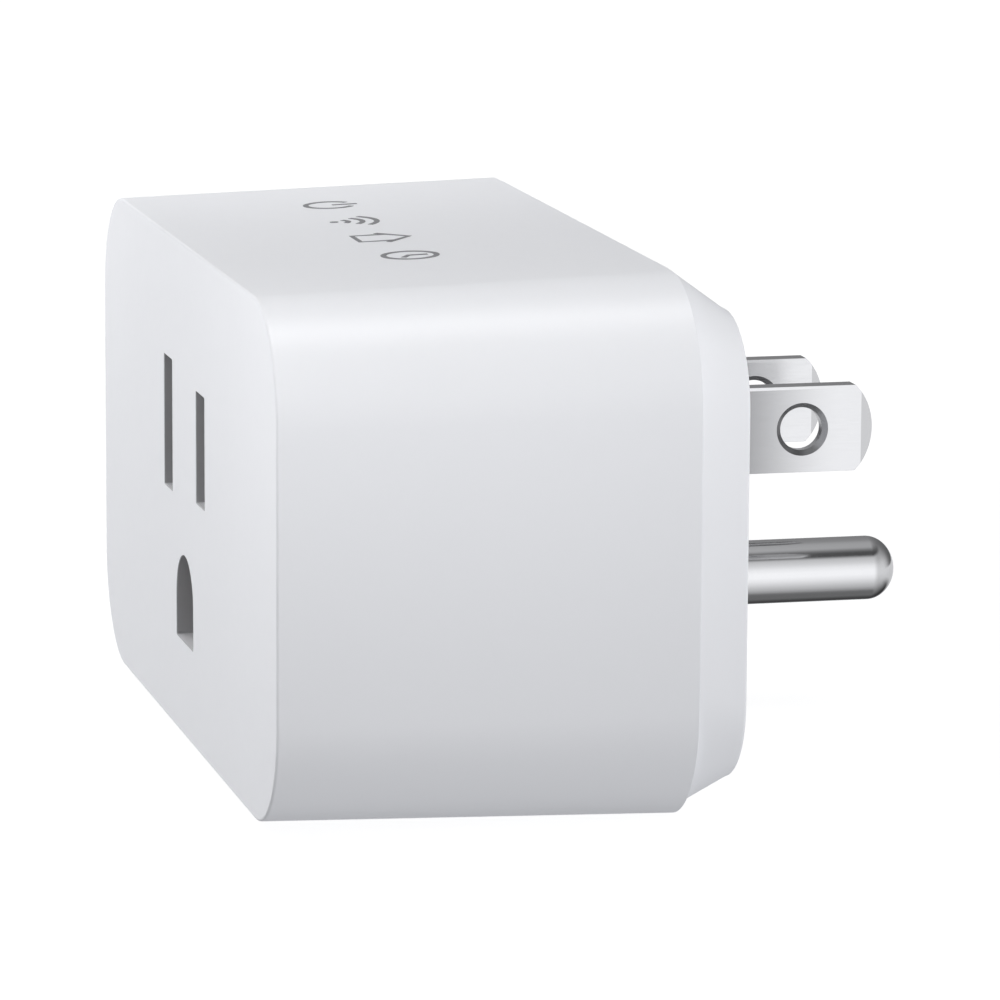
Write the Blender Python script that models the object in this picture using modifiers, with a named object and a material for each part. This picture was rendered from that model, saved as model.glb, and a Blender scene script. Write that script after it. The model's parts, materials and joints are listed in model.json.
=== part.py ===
"""Smart plug with one grounded outlet, modelled piece by piece at its real size.

Frame: the origin is the centre of the rear wall face, +Y points into the wall along the
blades, +X is the hot side and +Z is up, so the ground pin hangs below the two blades.
Every dimension in this file is in millimetres until MM turns it into metres.
"""
import math

import bmesh
import bpy
from mathutils import Matrix, Vector

MM = 0.001
GAP = 0.3                      # clearance that neighbouring pieces keep
OVERSHOOT = 3.0                # how far a cutting tool runs past what it cuts

# Casing: a drafted shell in front and a tapered cover on the wall side.
FRONT_WIDTH = 68.0
FRONT_HEIGHT = 36.3
FRONT_CORNER = 8.0
REAR_WIDTH = 68.7
REAR_HEIGHT = 38.1
REAR_CORNER = 8.6
FRONT_Y = -33.1                # outlet face
SEAM_Y = -3.7                  # rear edge of the shell
WALL_WIDTH = 66.3
WALL_HEIGHT = 32.9
WALL_CORNER = 6.3
COVER_WIDTH = 68.2             # rear cover where it meets the shell
COVER_HEIGHT = 37.6
COVER_CORNER = 9.9
EDGE_ROUND = 0.35
RIM_ROUND = 0.3
SHELL_WALL = 2.0
CAVITY_WIDTH = 64.0
CAVITY_HEIGHT = 32.4
CAVITY_CORNER = 6.0
CAVITY_FRONT = FRONT_Y + SHELL_WALL
LIP_FRONT = -7.7
LIP_BACK = SEAM_Y + 1.2
POCKET_WIDTH = 60.6
POCKET_HEIGHT = 29.2
POCKET_CORNER = 3.0
POCKET_FLOOR = -2.0

# North American 15 A grounded pattern, shared by the outlet and the plug.
BLADE_PITCH = 12.7
PIN_DROP = 11.9
BLADE_Z = 4.3
OUTLET_Z = 4.15                # centre of the two line slots in the outlet face
PIN_Z = BLADE_Z - PIN_DROP
HOT_X = BLADE_PITCH / 2
NEUTRAL_X = -BLADE_PITCH / 2
BLADE_WIDTH = 6.35
BLADE_THICK = 1.52
BLADE_SHOULDER = 15.4
BLADE_TIP = 16.75
BLADE_HOLE_Y = 11.4
BLADE_HOLE_R = 1.6
PIN_R = 2.39
PIN_DOME = 2.1                 # length of the pin's rounded end
PIN_TIP = 20.65
SLOT_WIDTH = 3.3
HOT_SLOT = 8.1
NEUTRAL_SLOT = 9.7
GROUND_SLOT_R = 3.3
GROUND_SLOT_Z = -8.0
GROUND_SLOT_LOW = -11.1

# Blade and pin roots, clamped between the rear cover and the blade retainer.
COLLAR_BACK = -2.3
COLLAR_FRONT = -4.6
COLLAR_HALF = 4.4
PIN_COLLAR_R = 3.6
TAIL_END = -11.0
TAIL_HALF = 1.4
PIN_TAIL_R = 1.2
RETAINER_Y = (-5.9, -4.9)
RETAINER_SIZE = (24.0, 22.6)
RETAINER_Z = -1.8
RETAINER_SCREW_X = 9.5
RETAINER_SCREW_Z = -9.0
BOSS_R = 2.2
BOSS_FLOOR = POCKET_FLOOR + 0.6
BOSS_PILOT_Y = (-6.0, -1.2)

# Power board, parallel to the wall face.
BOARD_Y = (-9.2, -8.0)
BOARD_WIDTH = 60.8
BOARD_HEIGHT = 28.8
BOARD_CORNER = 4.0
COMPONENT_Y = BOARD_Y[0] - GAP
POST_X = 28.2
POST_Z = 12.0
POST_R = 1.9
POST_ROOT = FRONT_Y + 1.0
POST_PILOT_Y = (-20.0, -5.0)
PILOT_R = 1.1

# Pan-head screws.
SHANK_R = 0.8
HEAD_R = 1.7
BOARD_HEAD_R = 1.5
HEAD_HEIGHT = 1.2
DRIVE_SLOT = 0.44
RETAINER_SCREW_END = -1.9
CARRIER_SCREW_END = -21.0
BOARD_SCREW_END = -18.5

# Outlet contacts and the carrier that holds them behind the outlet face.
CARRIER_X = 12.0
CARRIER_Z = (-13.6, 12.3)
CARRIER_Y = (-30.8, -14.2)
CARRIER_CORNER = 1.2
CARRIER_PILOT_Y = (-22.0, -12.0)
RIB_THICK = 1.0                # ribs of the shell on both sides of the carrier
RIB_REAR = -24.0
RIB_Z = (-18.0, -6.0)
COVER_PLATE_Y = (-13.9, -12.7)
POCKET_HALF = 2.7
LINE_POCKET_Z = (-2.4, 10.9)
GROUND_POCKET_HALF = 4.2
GROUND_POCKET_Z = (-12.3, -3.3)
CARRIER_SCREW_X = 9.0
CARRIER_SCREW_Z = -8.0
CLIP_FRONT = -29.8
CLIP_BACK = -16.1
CLIP_PINCH = CLIP_FRONT + 2.2  # where the leaves press on a blade
CLIP_FLARE = CLIP_FRONT + 5.3  # where they straighten again
CLIP_BEND = 0.4
CLIP_THICK = 0.5
LINE_CLIP_X = (1.9, 0.95, 1.7)      # half width at mouth, pinch and body
GROUND_CLIP_X = (3.4, 2.62, 2.95)
LINE_CLIP_Z = (0.2, 8.2)
GROUND_CLIP_HALF_Z = 3.0
LINE_TAIL_INNER = 2.2          # where each tail leaves the clip's back
GROUND_TAIL_INNER = -9.0
TAIL_RISE = 0.9
CLIP_TAIL_HALF_X = 0.4
CLIP_TAIL_END = -7.7
LINE_TAIL_Z = (8.2, 9.8)
GROUND_TAIL_Z = (-11.7, -10.1)
BUSBAR_Y = (COMPONENT_Y - 0.6, COMPONENT_Y)
NEUTRAL_BUSBAR = ((-8.4, -4.3), (2.0, 10.8))
LINE_BUSBAR = ((4.6, 18.0), (2.0, 6.4))
GROUND_STRAP = ((-2.4, 2.4), (-12.8, -5.3))
LOAD_BUSBAR = ((4.9, 7.2), (19.2, 7.2), (19.2, 2.8), (24.9, 2.8), (24.9, 10.8), (4.9, 10.8))

# Parts of the power supply: places as (x, z), runs along each axis as (low, high).
CAPACITOR_PLACES = ((-17.3, 8.5), (-17.3, -0.2))
CAPACITOR_R = 4.0
CAPACITOR_LENGTH = 14.0
CRIMP_Y = (1.2, 1.7, 3.2)      # bottom, middle and top of the crimp groove
CRIMP_DEPTH = 0.35
CAN_ROUND = 0.4
INDUCTOR_PLACE = (-17.3, -9.6)
INDUCTOR_FLANGE_R = 3.5
INDUCTOR_HUB_R = 2.0
INDUCTOR_LEVELS = (9.0, 7.8, 1.4)   # top, and the two inner faces of the flanges
INDUCTOR_WIRE_R = (2.3, 3.2)
INDUCTOR_WIRE_RUN = (1.7, 7.5)
FILM_CAPACITOR = ((14.5, 25.5), (-21.0, COMPONENT_Y), (-14.8, -10.1))
VARISTOR_X = 0.0
VARISTOR_Y = -20.5
VARISTOR_R = 4.5
VARISTOR_Z = (12.6, 15.8)
VARISTOR_LEAD_X = 2.5
VARISTOR_LEAD_Z = 13.9
LEAD_R = 0.4
LEAD_Y = (COMPONENT_Y - 10.0, COMPONENT_Y)
RESISTOR_PLACE = (17.0, 13.0)
RESISTOR_PROFILE = ((0.0, 10.4), (0.3, 10.4), (0.3, 9.4), (1.2, 9.4), (1.6, 8.8), (1.6, 1.6),
                    (1.2, 1.0), (0.3, 1.0), (0.3, 0.0), (0.0, 0.0))
RECTIFIER = ((20.4, 25.4), (-12.0, COMPONENT_Y), (10.9, 14.2))
REGULATOR = ((-10.0, -5.0), (-11.2, COMPONENT_Y), (-12.6, -8.7))

# Relay, standing on the power board on the hot side.
RELAY_X = (14.0, 30.0)
RELAY_Z = (-9.5, 9.5)
RELAY_BACK = -10.4
RELAY_FRONT = -27.1
RELAY_WALL = 0.8
RELAY_BASE_FRONT = -11.8
BASE_SLOT_Y = (-14.0, -8.0)
COIL_X = 22.0
COIL_Z = -2.5
ARMATURE_Y = (-24.9, -24.0)
HINGE_Z = -8.3
YOKE_HALF = 3.5
YOKE_THICK = 0.8
YOKE_BEND = 0.5
YOKE_BACK = -12.1
YOKE_TOP = 2.6
BOBBIN_BACK = -13.2
SPOOL_R = 4.7
SPOOL_HUB_R = 3.1
SPOOL_LEVELS = (9.4, 8.6, 0.8)      # top, and the two inner faces of the flanges
SPOOL_BORE_R = 2.5
COIL_R = (3.4, 4.5)
COIL_RUN = (1.1, 8.3)
CORE_R = 2.2
POLE_R = 2.6
CORE_LEVELS = (10.3, 9.7)           # outer and inner face of the pole piece
ARMATURE_TOP = 2.8
CONTACT_Z = 7.0
CONTACT_R = 1.1
ARM_Y = (-25.5, -25.2)
ARM_Z = (-5.0, 8.2)
ARM_HALF = 2.0
RIVET_ROOT = 0.1
MOVING_CONTACT_FACE = -24.5
FIXED_CONTACT_FACE = -23.5
FIXED_LEG_Z = (4.0, 4.6)
SHELF_Y = FIXED_CONTACT_FACE + 0.5
SHELF_THICK = 0.6
SHELF_TOP = 8.3

# Control board, standing on edge on the neutral side, with the button's switch.
CONTROL_X = (-26.0, -25.0)
CONTROL_Y = (-30.5, -9.6)
CONTROL_HALF_Z = 13.0
BUTTON_Y = -17.0
BUTTON_Z = 0.0
BUTTON_R = 4.6
BUTTON_FACE = -34.5
BUTTON_STOP_X = (-31.7, -30.9)  # outer and inner face of the button's stop flange
BUTTON_STEM_R = 1.4
BUTTON_STEM_END = -29.3
LIGHT_Z = 9.2
LIGHT_R = 1.2
LIGHT_FACE = -34.3
LIGHT_STOP_X = (-31.7, -31.0)
LIGHT_END = -28.0
STOP_WIDTH = 1.2
LIGHT_STOP_WIDTH = 0.7
SIDE_BORE_X = (-40.0, -30.0)
HEADER_SIZE = (2.5, (-12.0, COMPONENT_Y), (-4.0, 10.0))
RADIO_BOARD = (0.8, (-29.5, -14.0), (-8.0, 8.0))
RADIO_SHIELD = (2.0, (-27.0, -16.0), (-6.5, 6.5))
SWITCH_DEPTH = 2.1
SWITCH_HALF = 2.3
WELL_R = 1.2
WELL_FLOOR = 0.6
PLUNGER_R = 0.9
PLUNGER_X = (-29.0, -27.4)
LED_DEPTH = 0.9
LED_HALF = 0.8

FINISHES = {
    # name: colour, roughness, metallic
    "white_plastic": ((0.84, 0.85, 0.87), 0.38, 0.0),
    "button_plastic": ((0.84, 0.85, 0.87), 0.42, 0.0),
    "clear_plastic": ((0.90, 0.93, 0.95), 0.15, 0.0),
    "black_plastic": ((0.03, 0.03, 0.035), 0.45, 0.0),
    "grey_plastic": ((0.45, 0.46, 0.47), 0.50, 0.0),
    "relay_blue": ((0.05, 0.16, 0.42), 0.40, 0.0),
    "nickel": ((0.74, 0.74, 0.75), 0.22, 1.0),
    "chrome": ((0.80, 0.80, 0.81), 0.10, 1.0),
    "tinned_copper": ((0.68, 0.67, 0.64), 0.32, 1.0),
    "spring_copper": ((0.78, 0.45, 0.25), 0.35, 1.0),
    "steel": ((0.56, 0.56, 0.57), 0.35, 1.0),
    "enamelled_wire": ((0.62, 0.24, 0.08), 0.40, 0.6),
    "circuit_board": ((0.03, 0.22, 0.10), 0.50, 0.0),
    "can_aluminium": ((0.72, 0.72, 0.74), 0.30, 1.0),
    "ceramic_blue": ((0.05, 0.25, 0.50), 0.45, 0.0),
    "ferrite": ((0.08, 0.08, 0.085), 0.70, 0.0),
    "led_white": ((0.92, 0.92, 0.86), 0.30, 0.0),
}

parts = None
cutters = None


def reset_scene():
    """Empty the scene and make one collection for the parts and one for the cutters."""
    global parts, cutters
    for old in list(bpy.data.objects):
        bpy.data.objects.remove(old, do_unlink=True)
    parts = bpy.data.collections.new("smart_plug")
    cutters = bpy.data.collections.new("cutters")
    for collection in (parts, cutters):
        bpy.context.scene.collection.children.link(collection)


def finish_material(name):
    """The Principled material of a finish, made on its first use."""
    found = bpy.data.materials.get(name)
    if found:
        return found
    colour, roughness, metallic = FINISHES[name]
    made = bpy.data.materials.new(name)
    made.use_nodes = True
    shader = made.node_tree.nodes["Principled BSDF"]
    shader.inputs["Base Color"].default_value = (*colour, 1.0)
    shader.inputs["Roughness"].default_value = roughness
    shader.inputs["Metallic"].default_value = metallic
    return made


def add_object(name, data, finish, place):
    """Put data in the scene: a part with its own material, or a hidden tool without one."""
    made = bpy.data.objects.new(name, data)
    made.matrix_world = place
    if finish is None:
        cutters.objects.link(made)
        made.hide_render = True
        made.display_type = "WIRE"
        return made
    parts.objects.link(made)
    own = finish_material(finish).copy()
    own.name = f"{name}_{finish}"
    data.materials.append(own)
    return made


def mesh_from(name, bm):
    """Close a bmesh into a mesh whose faces point outwards."""
    bmesh.ops.recalc_face_normals(bm, faces=bm.faces)
    mesh = bpy.data.meshes.new(name)
    bm.to_mesh(mesh)
    bm.free()
    return mesh


def place_at(x, y, z, turn=None):
    """A placement in metres, turned first."""
    move = Matrix.Translation(Vector((x, y, z)) * MM)
    return move @ turn if turn else move


# Local +Z turned onto an axis of the frame.
ALONG = {
    "+X": Matrix.Rotation(math.radians(90), 4, "Y"),
    "-X": Matrix.Rotation(math.radians(-90), 4, "Y"),
    "+Y": Matrix.Rotation(math.radians(-90), 4, "X"),
    "-Y": Matrix.Rotation(math.radians(90), 4, "X"),
    "+Z": Matrix.Identity(4),
}
# A flat outline's own (x, y) turned onto two axes of the frame.
PLANES = {
    "XZ": Matrix(((1, 0, 0, 0), (0, 0, -1, 0), (0, 1, 0, 0), (0, 0, 0, 1))),
    "YZ": Matrix(((0, 0, 1, 0), (1, 0, 0, 0), (0, 1, 0, 0), (0, 0, 0, 1))),
    "XY": Matrix.Identity(4),
}


def box(name, x, y, z, finish=None):
    """A block between (low, high) pairs along each axis."""
    bm = bmesh.new()
    bmesh.ops.create_cube(bm, size=1.0)
    size = Vector((x[1] - x[0], y[1] - y[0], z[1] - z[0])) * MM
    bmesh.ops.scale(bm, vec=size, verts=bm.verts)
    centre = [(low + high) / 2 for low, high in (x, y, z)]
    return add_object(name, mesh_from(name, bm), finish, place_at(*centre))


def rod(name, centre, along, radius, span, finish=None, sides=20):
    """A round bar; span is its (low, high) run along its axis."""
    bm = bmesh.new()
    bmesh.ops.create_cone(
        bm, cap_ends=True, segments=sides, radius1=radius * MM, radius2=radius * MM,
        depth=(span[1] - span[0]) * MM,
    )
    axis = "XYZ".index(along)
    middle = list(centre)
    middle.insert(axis, (span[0] + span[1]) / 2)
    turn = ALONG["+" + along]
    return add_object(name, mesh_from(name, bm), finish, place_at(*middle, turn))


def turned(name, at, along, profile, finish, steps=24):
    """A turned solid: profile lists (radius, height) from the top of its axis down."""
    mesh = bpy.data.meshes.new(name)
    points = [(radius * MM, 0.0, height * MM) for radius, height in profile]
    mesh.from_pydata(points, [(i, i + 1) for i in range(len(points) - 1)], [])
    made = add_object(name, mesh, finish, place_at(*at, ALONG[along]))
    screw = made.modifiers.new("turn", "SCREW")
    screw.axis = "Z"
    screw.steps = steps
    screw.render_steps = steps
    screw.use_merge_vertices = True
    screw.merge_threshold = 0.00001
    return made


def rounded_outline(width, height, radius, segments=4, centre=(0.0, 0.0)):
    """A rectangle with round corners, anticlockwise from the right-hand side."""
    points = []
    corners = ((1, 1, 0), (-1, 1, 90), (-1, -1, 180), (1, -1, 270))
    for side_x, side_z, start in corners:
        corner_x = centre[0] + side_x * (width / 2 - radius)
        corner_z = centre[1] + side_z * (height / 2 - radius)
        for step in range(segments + 1):
            angle = math.radians(start + 90 * step / segments)
            points.append((corner_x + radius * math.cos(angle), corner_z + radius * math.sin(angle)))
    return points


def rectangle(x, z):
    """A plain rectangle between two (low, high) pairs."""
    return [(x[0], z[0]), (x[1], z[0]), (x[1], z[1]), (x[0], z[1])]


def plate(name, outline, plane, span, finish=None):
    """A flat outline with thickness; span is (low, high) along the plane's normal."""
    curve = bpy.data.curves.new(name + "_outline", "CURVE")
    curve.dimensions = "2D"
    curve.fill_mode = "BOTH"
    curve.extrude = (span[1] - span[0]) / 2 * MM
    spline = curve.splines.new("POLY")
    spline.points.add(len(outline) - 1)
    for point, (across, up) in zip(spline.points, outline):
        point.co = (across * MM, up * MM, 0.0, 1.0)
    spline.use_cyclic_u = True
    drawn = bpy.data.objects.new(name + "_outline", curve)
    normal = "XYZ".index({"XZ": "Y", "YZ": "X", "XY": "Z"}[plane])
    centre = [0.0, 0.0, 0.0]
    centre[normal] = (span[0] + span[1]) / 2
    drawn.matrix_world = place_at(*centre, PLANES[plane])
    bpy.context.scene.collection.objects.link(drawn)
    bpy.context.view_layer.update()
    evaluated = drawn.evaluated_get(bpy.context.evaluated_depsgraph_get())
    bm = bmesh.new()
    flat = bpy.data.meshes.new_from_object(evaluated)
    bm.from_mesh(flat)
    bmesh.ops.remove_doubles(bm, verts=bm.verts, dist=0.000001)
    made = add_object(name, mesh_from(name, bm), finish, drawn.matrix_world.copy())
    bpy.data.objects.remove(drawn, do_unlink=True)
    return made


def lofted(name, sections, finish=None, segments=7):
    """A body grown through rounded sections, each (y, width, height, corner radius)."""
    bm = bmesh.new()
    slot = bm.verts.layers.int.new("ring_slot")
    y, width, height, radius = sections[0]
    ring = []
    for number, (x, z) in enumerate(rounded_outline(width, height, radius, segments)):
        vert = bm.verts.new(Vector((x, y, z)) * MM)
        vert[slot] = number
        ring.append(vert)
    first = cap = bm.faces.new(ring)
    for y, width, height, radius in sections[1:]:
        outline = rounded_outline(width, height, radius, segments)
        grown = bmesh.ops.extrude_face_region(bm, geom=[cap])["geom"]
        if cap is not first:
            bmesh.ops.delete(bm, geom=[cap], context="FACES_ONLY")
        cap = next(item for item in grown if isinstance(item, bmesh.types.BMFace))
        for vert in cap.verts:
            x, z = outline[vert[slot]]
            vert.co = Vector((x, y, z)) * MM
    return add_object(name, mesh_from(name, bm), finish, Matrix.Identity(4))


def bent_strip(name, path, plane, span, thickness, bend, finish=None):
    """Sheet metal bent along a path in a plane; span is its width along the normal."""
    bm = bmesh.new()
    low = [bm.verts.new((across * MM, up * MM, span[0] * MM)) for across, up in path]
    edges = [bm.edges.new(pair) for pair in zip(low, low[1:])]
    grown = bmesh.ops.extrude_edge_only(bm, edges=edges)["geom"]
    raised = [item for item in grown if isinstance(item, bmesh.types.BMVert)]
    bmesh.ops.translate(bm, vec=(0, 0, (span[1] - span[0]) * MM), verts=raised)
    mesh = mesh_from(name, bm)
    made = add_object(name, mesh, finish, PLANES[plane].copy())
    rounding = made.modifiers.new("bends", "BEVEL")
    rounding.width = bend * MM
    rounding.segments = 2
    rounding.limit_method = "ANGLE"
    rounding.angle_limit = math.radians(20)
    skin = made.modifiers.new("sheet", "SOLIDIFY")
    skin.thickness = thickness * MM
    skin.offset = 0.0
    skin.use_even_offset = True
    return made


def boolean(target, tool, operation):
    """Cut a tool out of a piece, or add it to the piece."""
    change = target.modifiers.new(operation.lower(), "BOOLEAN")
    change.operation = operation
    change.solver = "EXACT"
    change.object = tool


def cut(target, *tools):
    for tool in tools:
        boolean(target, tool, "DIFFERENCE")


def join(target, *tools):
    for tool in tools:
        boolean(target, tool, "UNION")


def widened(span, by=GAP):
    """A (low, high) pair with clearance on both ends."""
    return (span[0] - by, span[1] + by)


def around(centre, half):
    """A (low, high) pair about a centre."""
    return (centre - half, centre + half)


# ---------------------------------------------------------------- casing

def front_housing():
    """The white shell: outlet face, four drafted walls, posts and locating ribs."""
    small = EDGE_ROUND * (1 - math.cos(math.radians(45)))
    shell = lofted("front_housing", [
        (FRONT_Y, FRONT_WIDTH - 2 * EDGE_ROUND, FRONT_HEIGHT - 2 * EDGE_ROUND,
         FRONT_CORNER - EDGE_ROUND),
        (FRONT_Y + small, FRONT_WIDTH - 2 * small, FRONT_HEIGHT - 2 * small, FRONT_CORNER - small),
        (FRONT_Y + EDGE_ROUND, FRONT_WIDTH, FRONT_HEIGHT, FRONT_CORNER),
        (SEAM_Y, REAR_WIDTH, REAR_HEIGHT, REAR_CORNER),
    ], "white_plastic")
    cavity = lofted("housing_cavity", [
        (CAVITY_FRONT, CAVITY_WIDTH, CAVITY_HEIGHT, CAVITY_CORNER),
        (SEAM_Y + OVERSHOOT, CAVITY_WIDTH, CAVITY_HEIGHT, CAVITY_CORNER),
    ])
    cut(shell, cavity)
    through = (FRONT_Y - OVERSHOOT, CAVITY_FRONT + OVERSHOOT)
    for side, x, height in (("hot", HOT_X, HOT_SLOT), ("neutral", NEUTRAL_X, NEUTRAL_SLOT)):
        slot = box(f"{side}_slot", around(x, SLOT_WIDTH / 2), through, around(OUTLET_Z, height / 2))
        cut(shell, slot)
    cut(shell, plate("ground_slot", ground_slot_outline(), "XZ", through))
    cut(
        shell,
        rod("button_bore", (BUTTON_Y, BUTTON_Z), "X", BUTTON_R + GAP, SIDE_BORE_X, sides=36),
        rod("light_bore", (BUTTON_Y, LIGHT_Z), "X", LIGHT_R + GAP, SIDE_BORE_X),
    )
    for number, (x, z) in enumerate(post_places(), 1):
        post = rod(f"board_post_{number}", (x, z), "Y", POST_R, (POST_ROOT, BOARD_Y[0] - GAP))
        join(shell, post)
        cut(shell, rod(f"post_pilot_{number}", (x, z), "Y", PILOT_R, POST_PILOT_Y, sides=12))
    rib_y = (POST_ROOT, RIB_REAR)
    rib_x = (CARRIER_X + GAP, CARRIER_X + GAP + RIB_THICK)
    join(
        shell,
        box("rib_right", rib_x, rib_y, RIB_Z),
        box("rib_left", (-rib_x[1], -rib_x[0]), rib_y, RIB_Z),
    )
    return shell


def ground_slot_outline():
    """The outlet's ground opening: an arch on a flat sill."""
    arc = [math.radians(180 * step / 12) for step in range(13)]
    arch = [(GROUND_SLOT_R * math.cos(a), GROUND_SLOT_Z + GROUND_SLOT_R * math.sin(a)) for a in arc]
    return arch + [(-GROUND_SLOT_R, GROUND_SLOT_LOW), (GROUND_SLOT_R, GROUND_SLOT_LOW)]


def post_places():
    """Where the three board screws go, as (x, z)."""
    return ((POST_X, POST_Z), (POST_X, -POST_Z), (-POST_X, -POST_Z))


def rear_cover():
    """The tapered cover against the wall, with a lip that plugs into the shell."""
    rim = RIM_ROUND * (1 - math.cos(math.radians(45)))
    cover = lofted("rear_cover", [
        (SEAM_Y + GAP, COVER_WIDTH, COVER_HEIGHT, COVER_CORNER),
        (-RIM_ROUND, WALL_WIDTH, WALL_HEIGHT, WALL_CORNER),
        (-rim, WALL_WIDTH - 2 * rim, WALL_HEIGHT - 2 * rim, WALL_CORNER - rim),
        (0.0, WALL_WIDTH - 2 * RIM_ROUND, WALL_HEIGHT - 2 * RIM_ROUND, WALL_CORNER - RIM_ROUND),
    ], "white_plastic")
    lip = lofted("cover_lip", [
        (LIP_FRONT, CAVITY_WIDTH - 2 * GAP, CAVITY_HEIGHT - 2 * GAP, CAVITY_CORNER - GAP),
        (LIP_BACK, CAVITY_WIDTH - 2 * GAP, CAVITY_HEIGHT - 2 * GAP, CAVITY_CORNER - GAP),
    ])
    pocket = lofted("cover_pocket", [
        (LIP_FRONT - OVERSHOOT, POCKET_WIDTH, POCKET_HEIGHT, POCKET_CORNER),
        (POCKET_FLOOR, POCKET_WIDTH, POCKET_HEIGHT, POCKET_CORNER),
    ])
    join(cover, lip)
    cut(cover, pocket)
    wall = (POCKET_FLOOR - OVERSHOOT, OVERSHOOT)
    for side in (-1, 1):
        x = side * RETAINER_SCREW_X
        boss = rod(f"cover_boss_{side + 2}", (x, RETAINER_SCREW_Z), "Y", BOSS_R,
                   (COLLAR_FRONT, BOSS_FLOOR))
        pilot = rod(f"cover_pilot_{side + 2}", (x, RETAINER_SCREW_Z), "Y", PILOT_R,
                    BOSS_PILOT_Y, sides=12)
        join(cover, boss)
        cut(cover, pilot)
        cut(cover, box(f"blade_slot_{side + 2}", around(side * HOT_X, BLADE_THICK / 2 + GAP),
                       wall, around(BLADE_Z, BLADE_WIDTH / 2 + GAP)))
    cut(cover, rod("pin_bore", (0, PIN_Z), "Y", PIN_R + GAP, wall, sides=28))
    return cover


def blade(name, x):
    """A flat blade with a round nose, a hole, a clamped collar and a solder tail."""
    half = BLADE_WIDTH / 2
    nose = BLADE_TIP - BLADE_SHOULDER
    radius = (half * half + nose * nose) / (2 * nose)
    spread = math.asin(half / radius)
    centre_y = BLADE_TIP - radius
    outline = [(TAIL_END, BLADE_Z - TAIL_HALF), (COLLAR_FRONT, BLADE_Z - TAIL_HALF),
               (COLLAR_FRONT, BLADE_Z - COLLAR_HALF), (COLLAR_BACK, BLADE_Z - COLLAR_HALF),
               (COLLAR_BACK, BLADE_Z - half)]
    for step in range(9):
        angle = -spread + 2 * spread * step / 8
        outline.append((centre_y + radius * math.cos(angle), BLADE_Z + radius * math.sin(angle)))
    outline += [(COLLAR_BACK, BLADE_Z + half), (COLLAR_BACK, BLADE_Z + COLLAR_HALF),
                (COLLAR_FRONT, BLADE_Z + COLLAR_HALF), (COLLAR_FRONT, BLADE_Z + TAIL_HALF),
                (TAIL_END, BLADE_Z + TAIL_HALF)]
    made = plate(name, outline, "YZ", around(x, BLADE_THICK / 2), "nickel")
    cut(made, rod(name + "_hole", (BLADE_HOLE_Y, BLADE_Z), "X", BLADE_HOLE_R, around(x, OVERSHOOT), sides=24))
    return made


def ground_pin():
    """The round ground pin with a domed end, a collar and a solder tail."""
    dome = [math.radians(90 * step / 6) for step in range(7)]
    profile = [(PIN_R * math.sin(a), PIN_TIP - PIN_DOME * (1 - math.cos(a))) for a in dome]
    profile += [(PIN_R, COLLAR_BACK), (PIN_COLLAR_R, COLLAR_BACK), (PIN_COLLAR_R, COLLAR_FRONT),
                (PIN_TAIL_R, COLLAR_FRONT), (PIN_TAIL_R, TAIL_END), (0.0, TAIL_END)]
    return turned("ground_pin", (0, 0, PIN_Z), "+Y", profile, "chrome", 28)


def blade_retainer():
    """The insulating plate that clamps the blade and pin collars into the rear cover."""
    outline = rounded_outline(*RETAINER_SIZE, 2.0, 3, (0, RETAINER_Z))
    span = widened(RETAINER_Y, OVERSHOOT)
    made = plate("blade_retainer", outline, "XZ", RETAINER_Y, "black_plastic")
    for side in (-1, 1):
        cut(made, box(f"retainer_slot_{side + 2}", around(side * HOT_X, BLADE_THICK / 2 + GAP),
                      span, around(BLADE_Z, TAIL_HALF + GAP)))
        cut(made, rod(f"retainer_hole_{side + 2}", (side * RETAINER_SCREW_X, RETAINER_SCREW_Z),
                      "Y", PILOT_R, span, sides=12))
    cut(made, rod("retainer_pin_hole", (0, PIN_Z), "Y", PIN_TAIL_R + GAP, span))
    return made


def small_screw(name, x, z, seat, reach, head_r=HEAD_R):
    """A pan-head screw driven towards -Y or +Y; seat is the face its head bears on."""
    inward = 1 if reach > seat else -1
    along = "-Y" if inward > 0 else "+Y"
    length = abs(reach - seat)
    tip = SHANK_R * 0.75
    profile = [(0.0, HEAD_HEIGHT), (head_r * 0.7, HEAD_HEIGHT), (head_r, HEAD_HEIGHT * 0.55),
               (head_r, 0.0), (SHANK_R, 0.0), (SHANK_R, tip - length), (SHANK_R - tip, -length),
               (0.0, -length)]
    made = turned(name, (x, seat - inward * GAP, z), along, profile, "steel", 14)
    top = seat - inward * (GAP + HEAD_HEIGHT)
    recess = box(name + "_recess", around(x, head_r * 0.55), around(top, HEAD_HEIGHT * 0.4),
                 around(z, DRIVE_SLOT / 2))
    cut(made, recess)
    return made


# ---------------------------------------------------------------- outlet contacts

def line_clip(name, x):
    """A spring clip for a blade: two leaves, a closed back and a tail to the board."""
    path = clip_path(x, *LINE_CLIP_X)
    made = bent_strip(name, path, "XY", LINE_CLIP_Z, CLIP_THICK, CLIP_BEND, "spring_copper")
    join(made, clip_tail(name, x, LINE_TAIL_Z, LINE_TAIL_INNER))
    return made


def ground_clip():
    """The wider clip for a round ground pin."""
    path = clip_path(0.0, *GROUND_CLIP_X)
    run = around(PIN_Z, GROUND_CLIP_HALF_Z)
    made = bent_strip("ground_contact", path, "XY", run, CLIP_THICK, CLIP_BEND, "spring_copper")
    join(made, clip_tail("ground_contact", 0, GROUND_TAIL_Z, GROUND_TAIL_INNER))
    return made


def clip_path(x, mouth, pinch, body):
    """Half widths at the mouth, the pinch and the body, as one bent line about x."""
    leaf = [(mouth, CLIP_FRONT), (pinch, CLIP_PINCH), (body, CLIP_FLARE), (body, CLIP_BACK)]
    return [(x - half, y) for half, y in leaf] + [(x + half, y) for half, y in reversed(leaf)]


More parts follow.
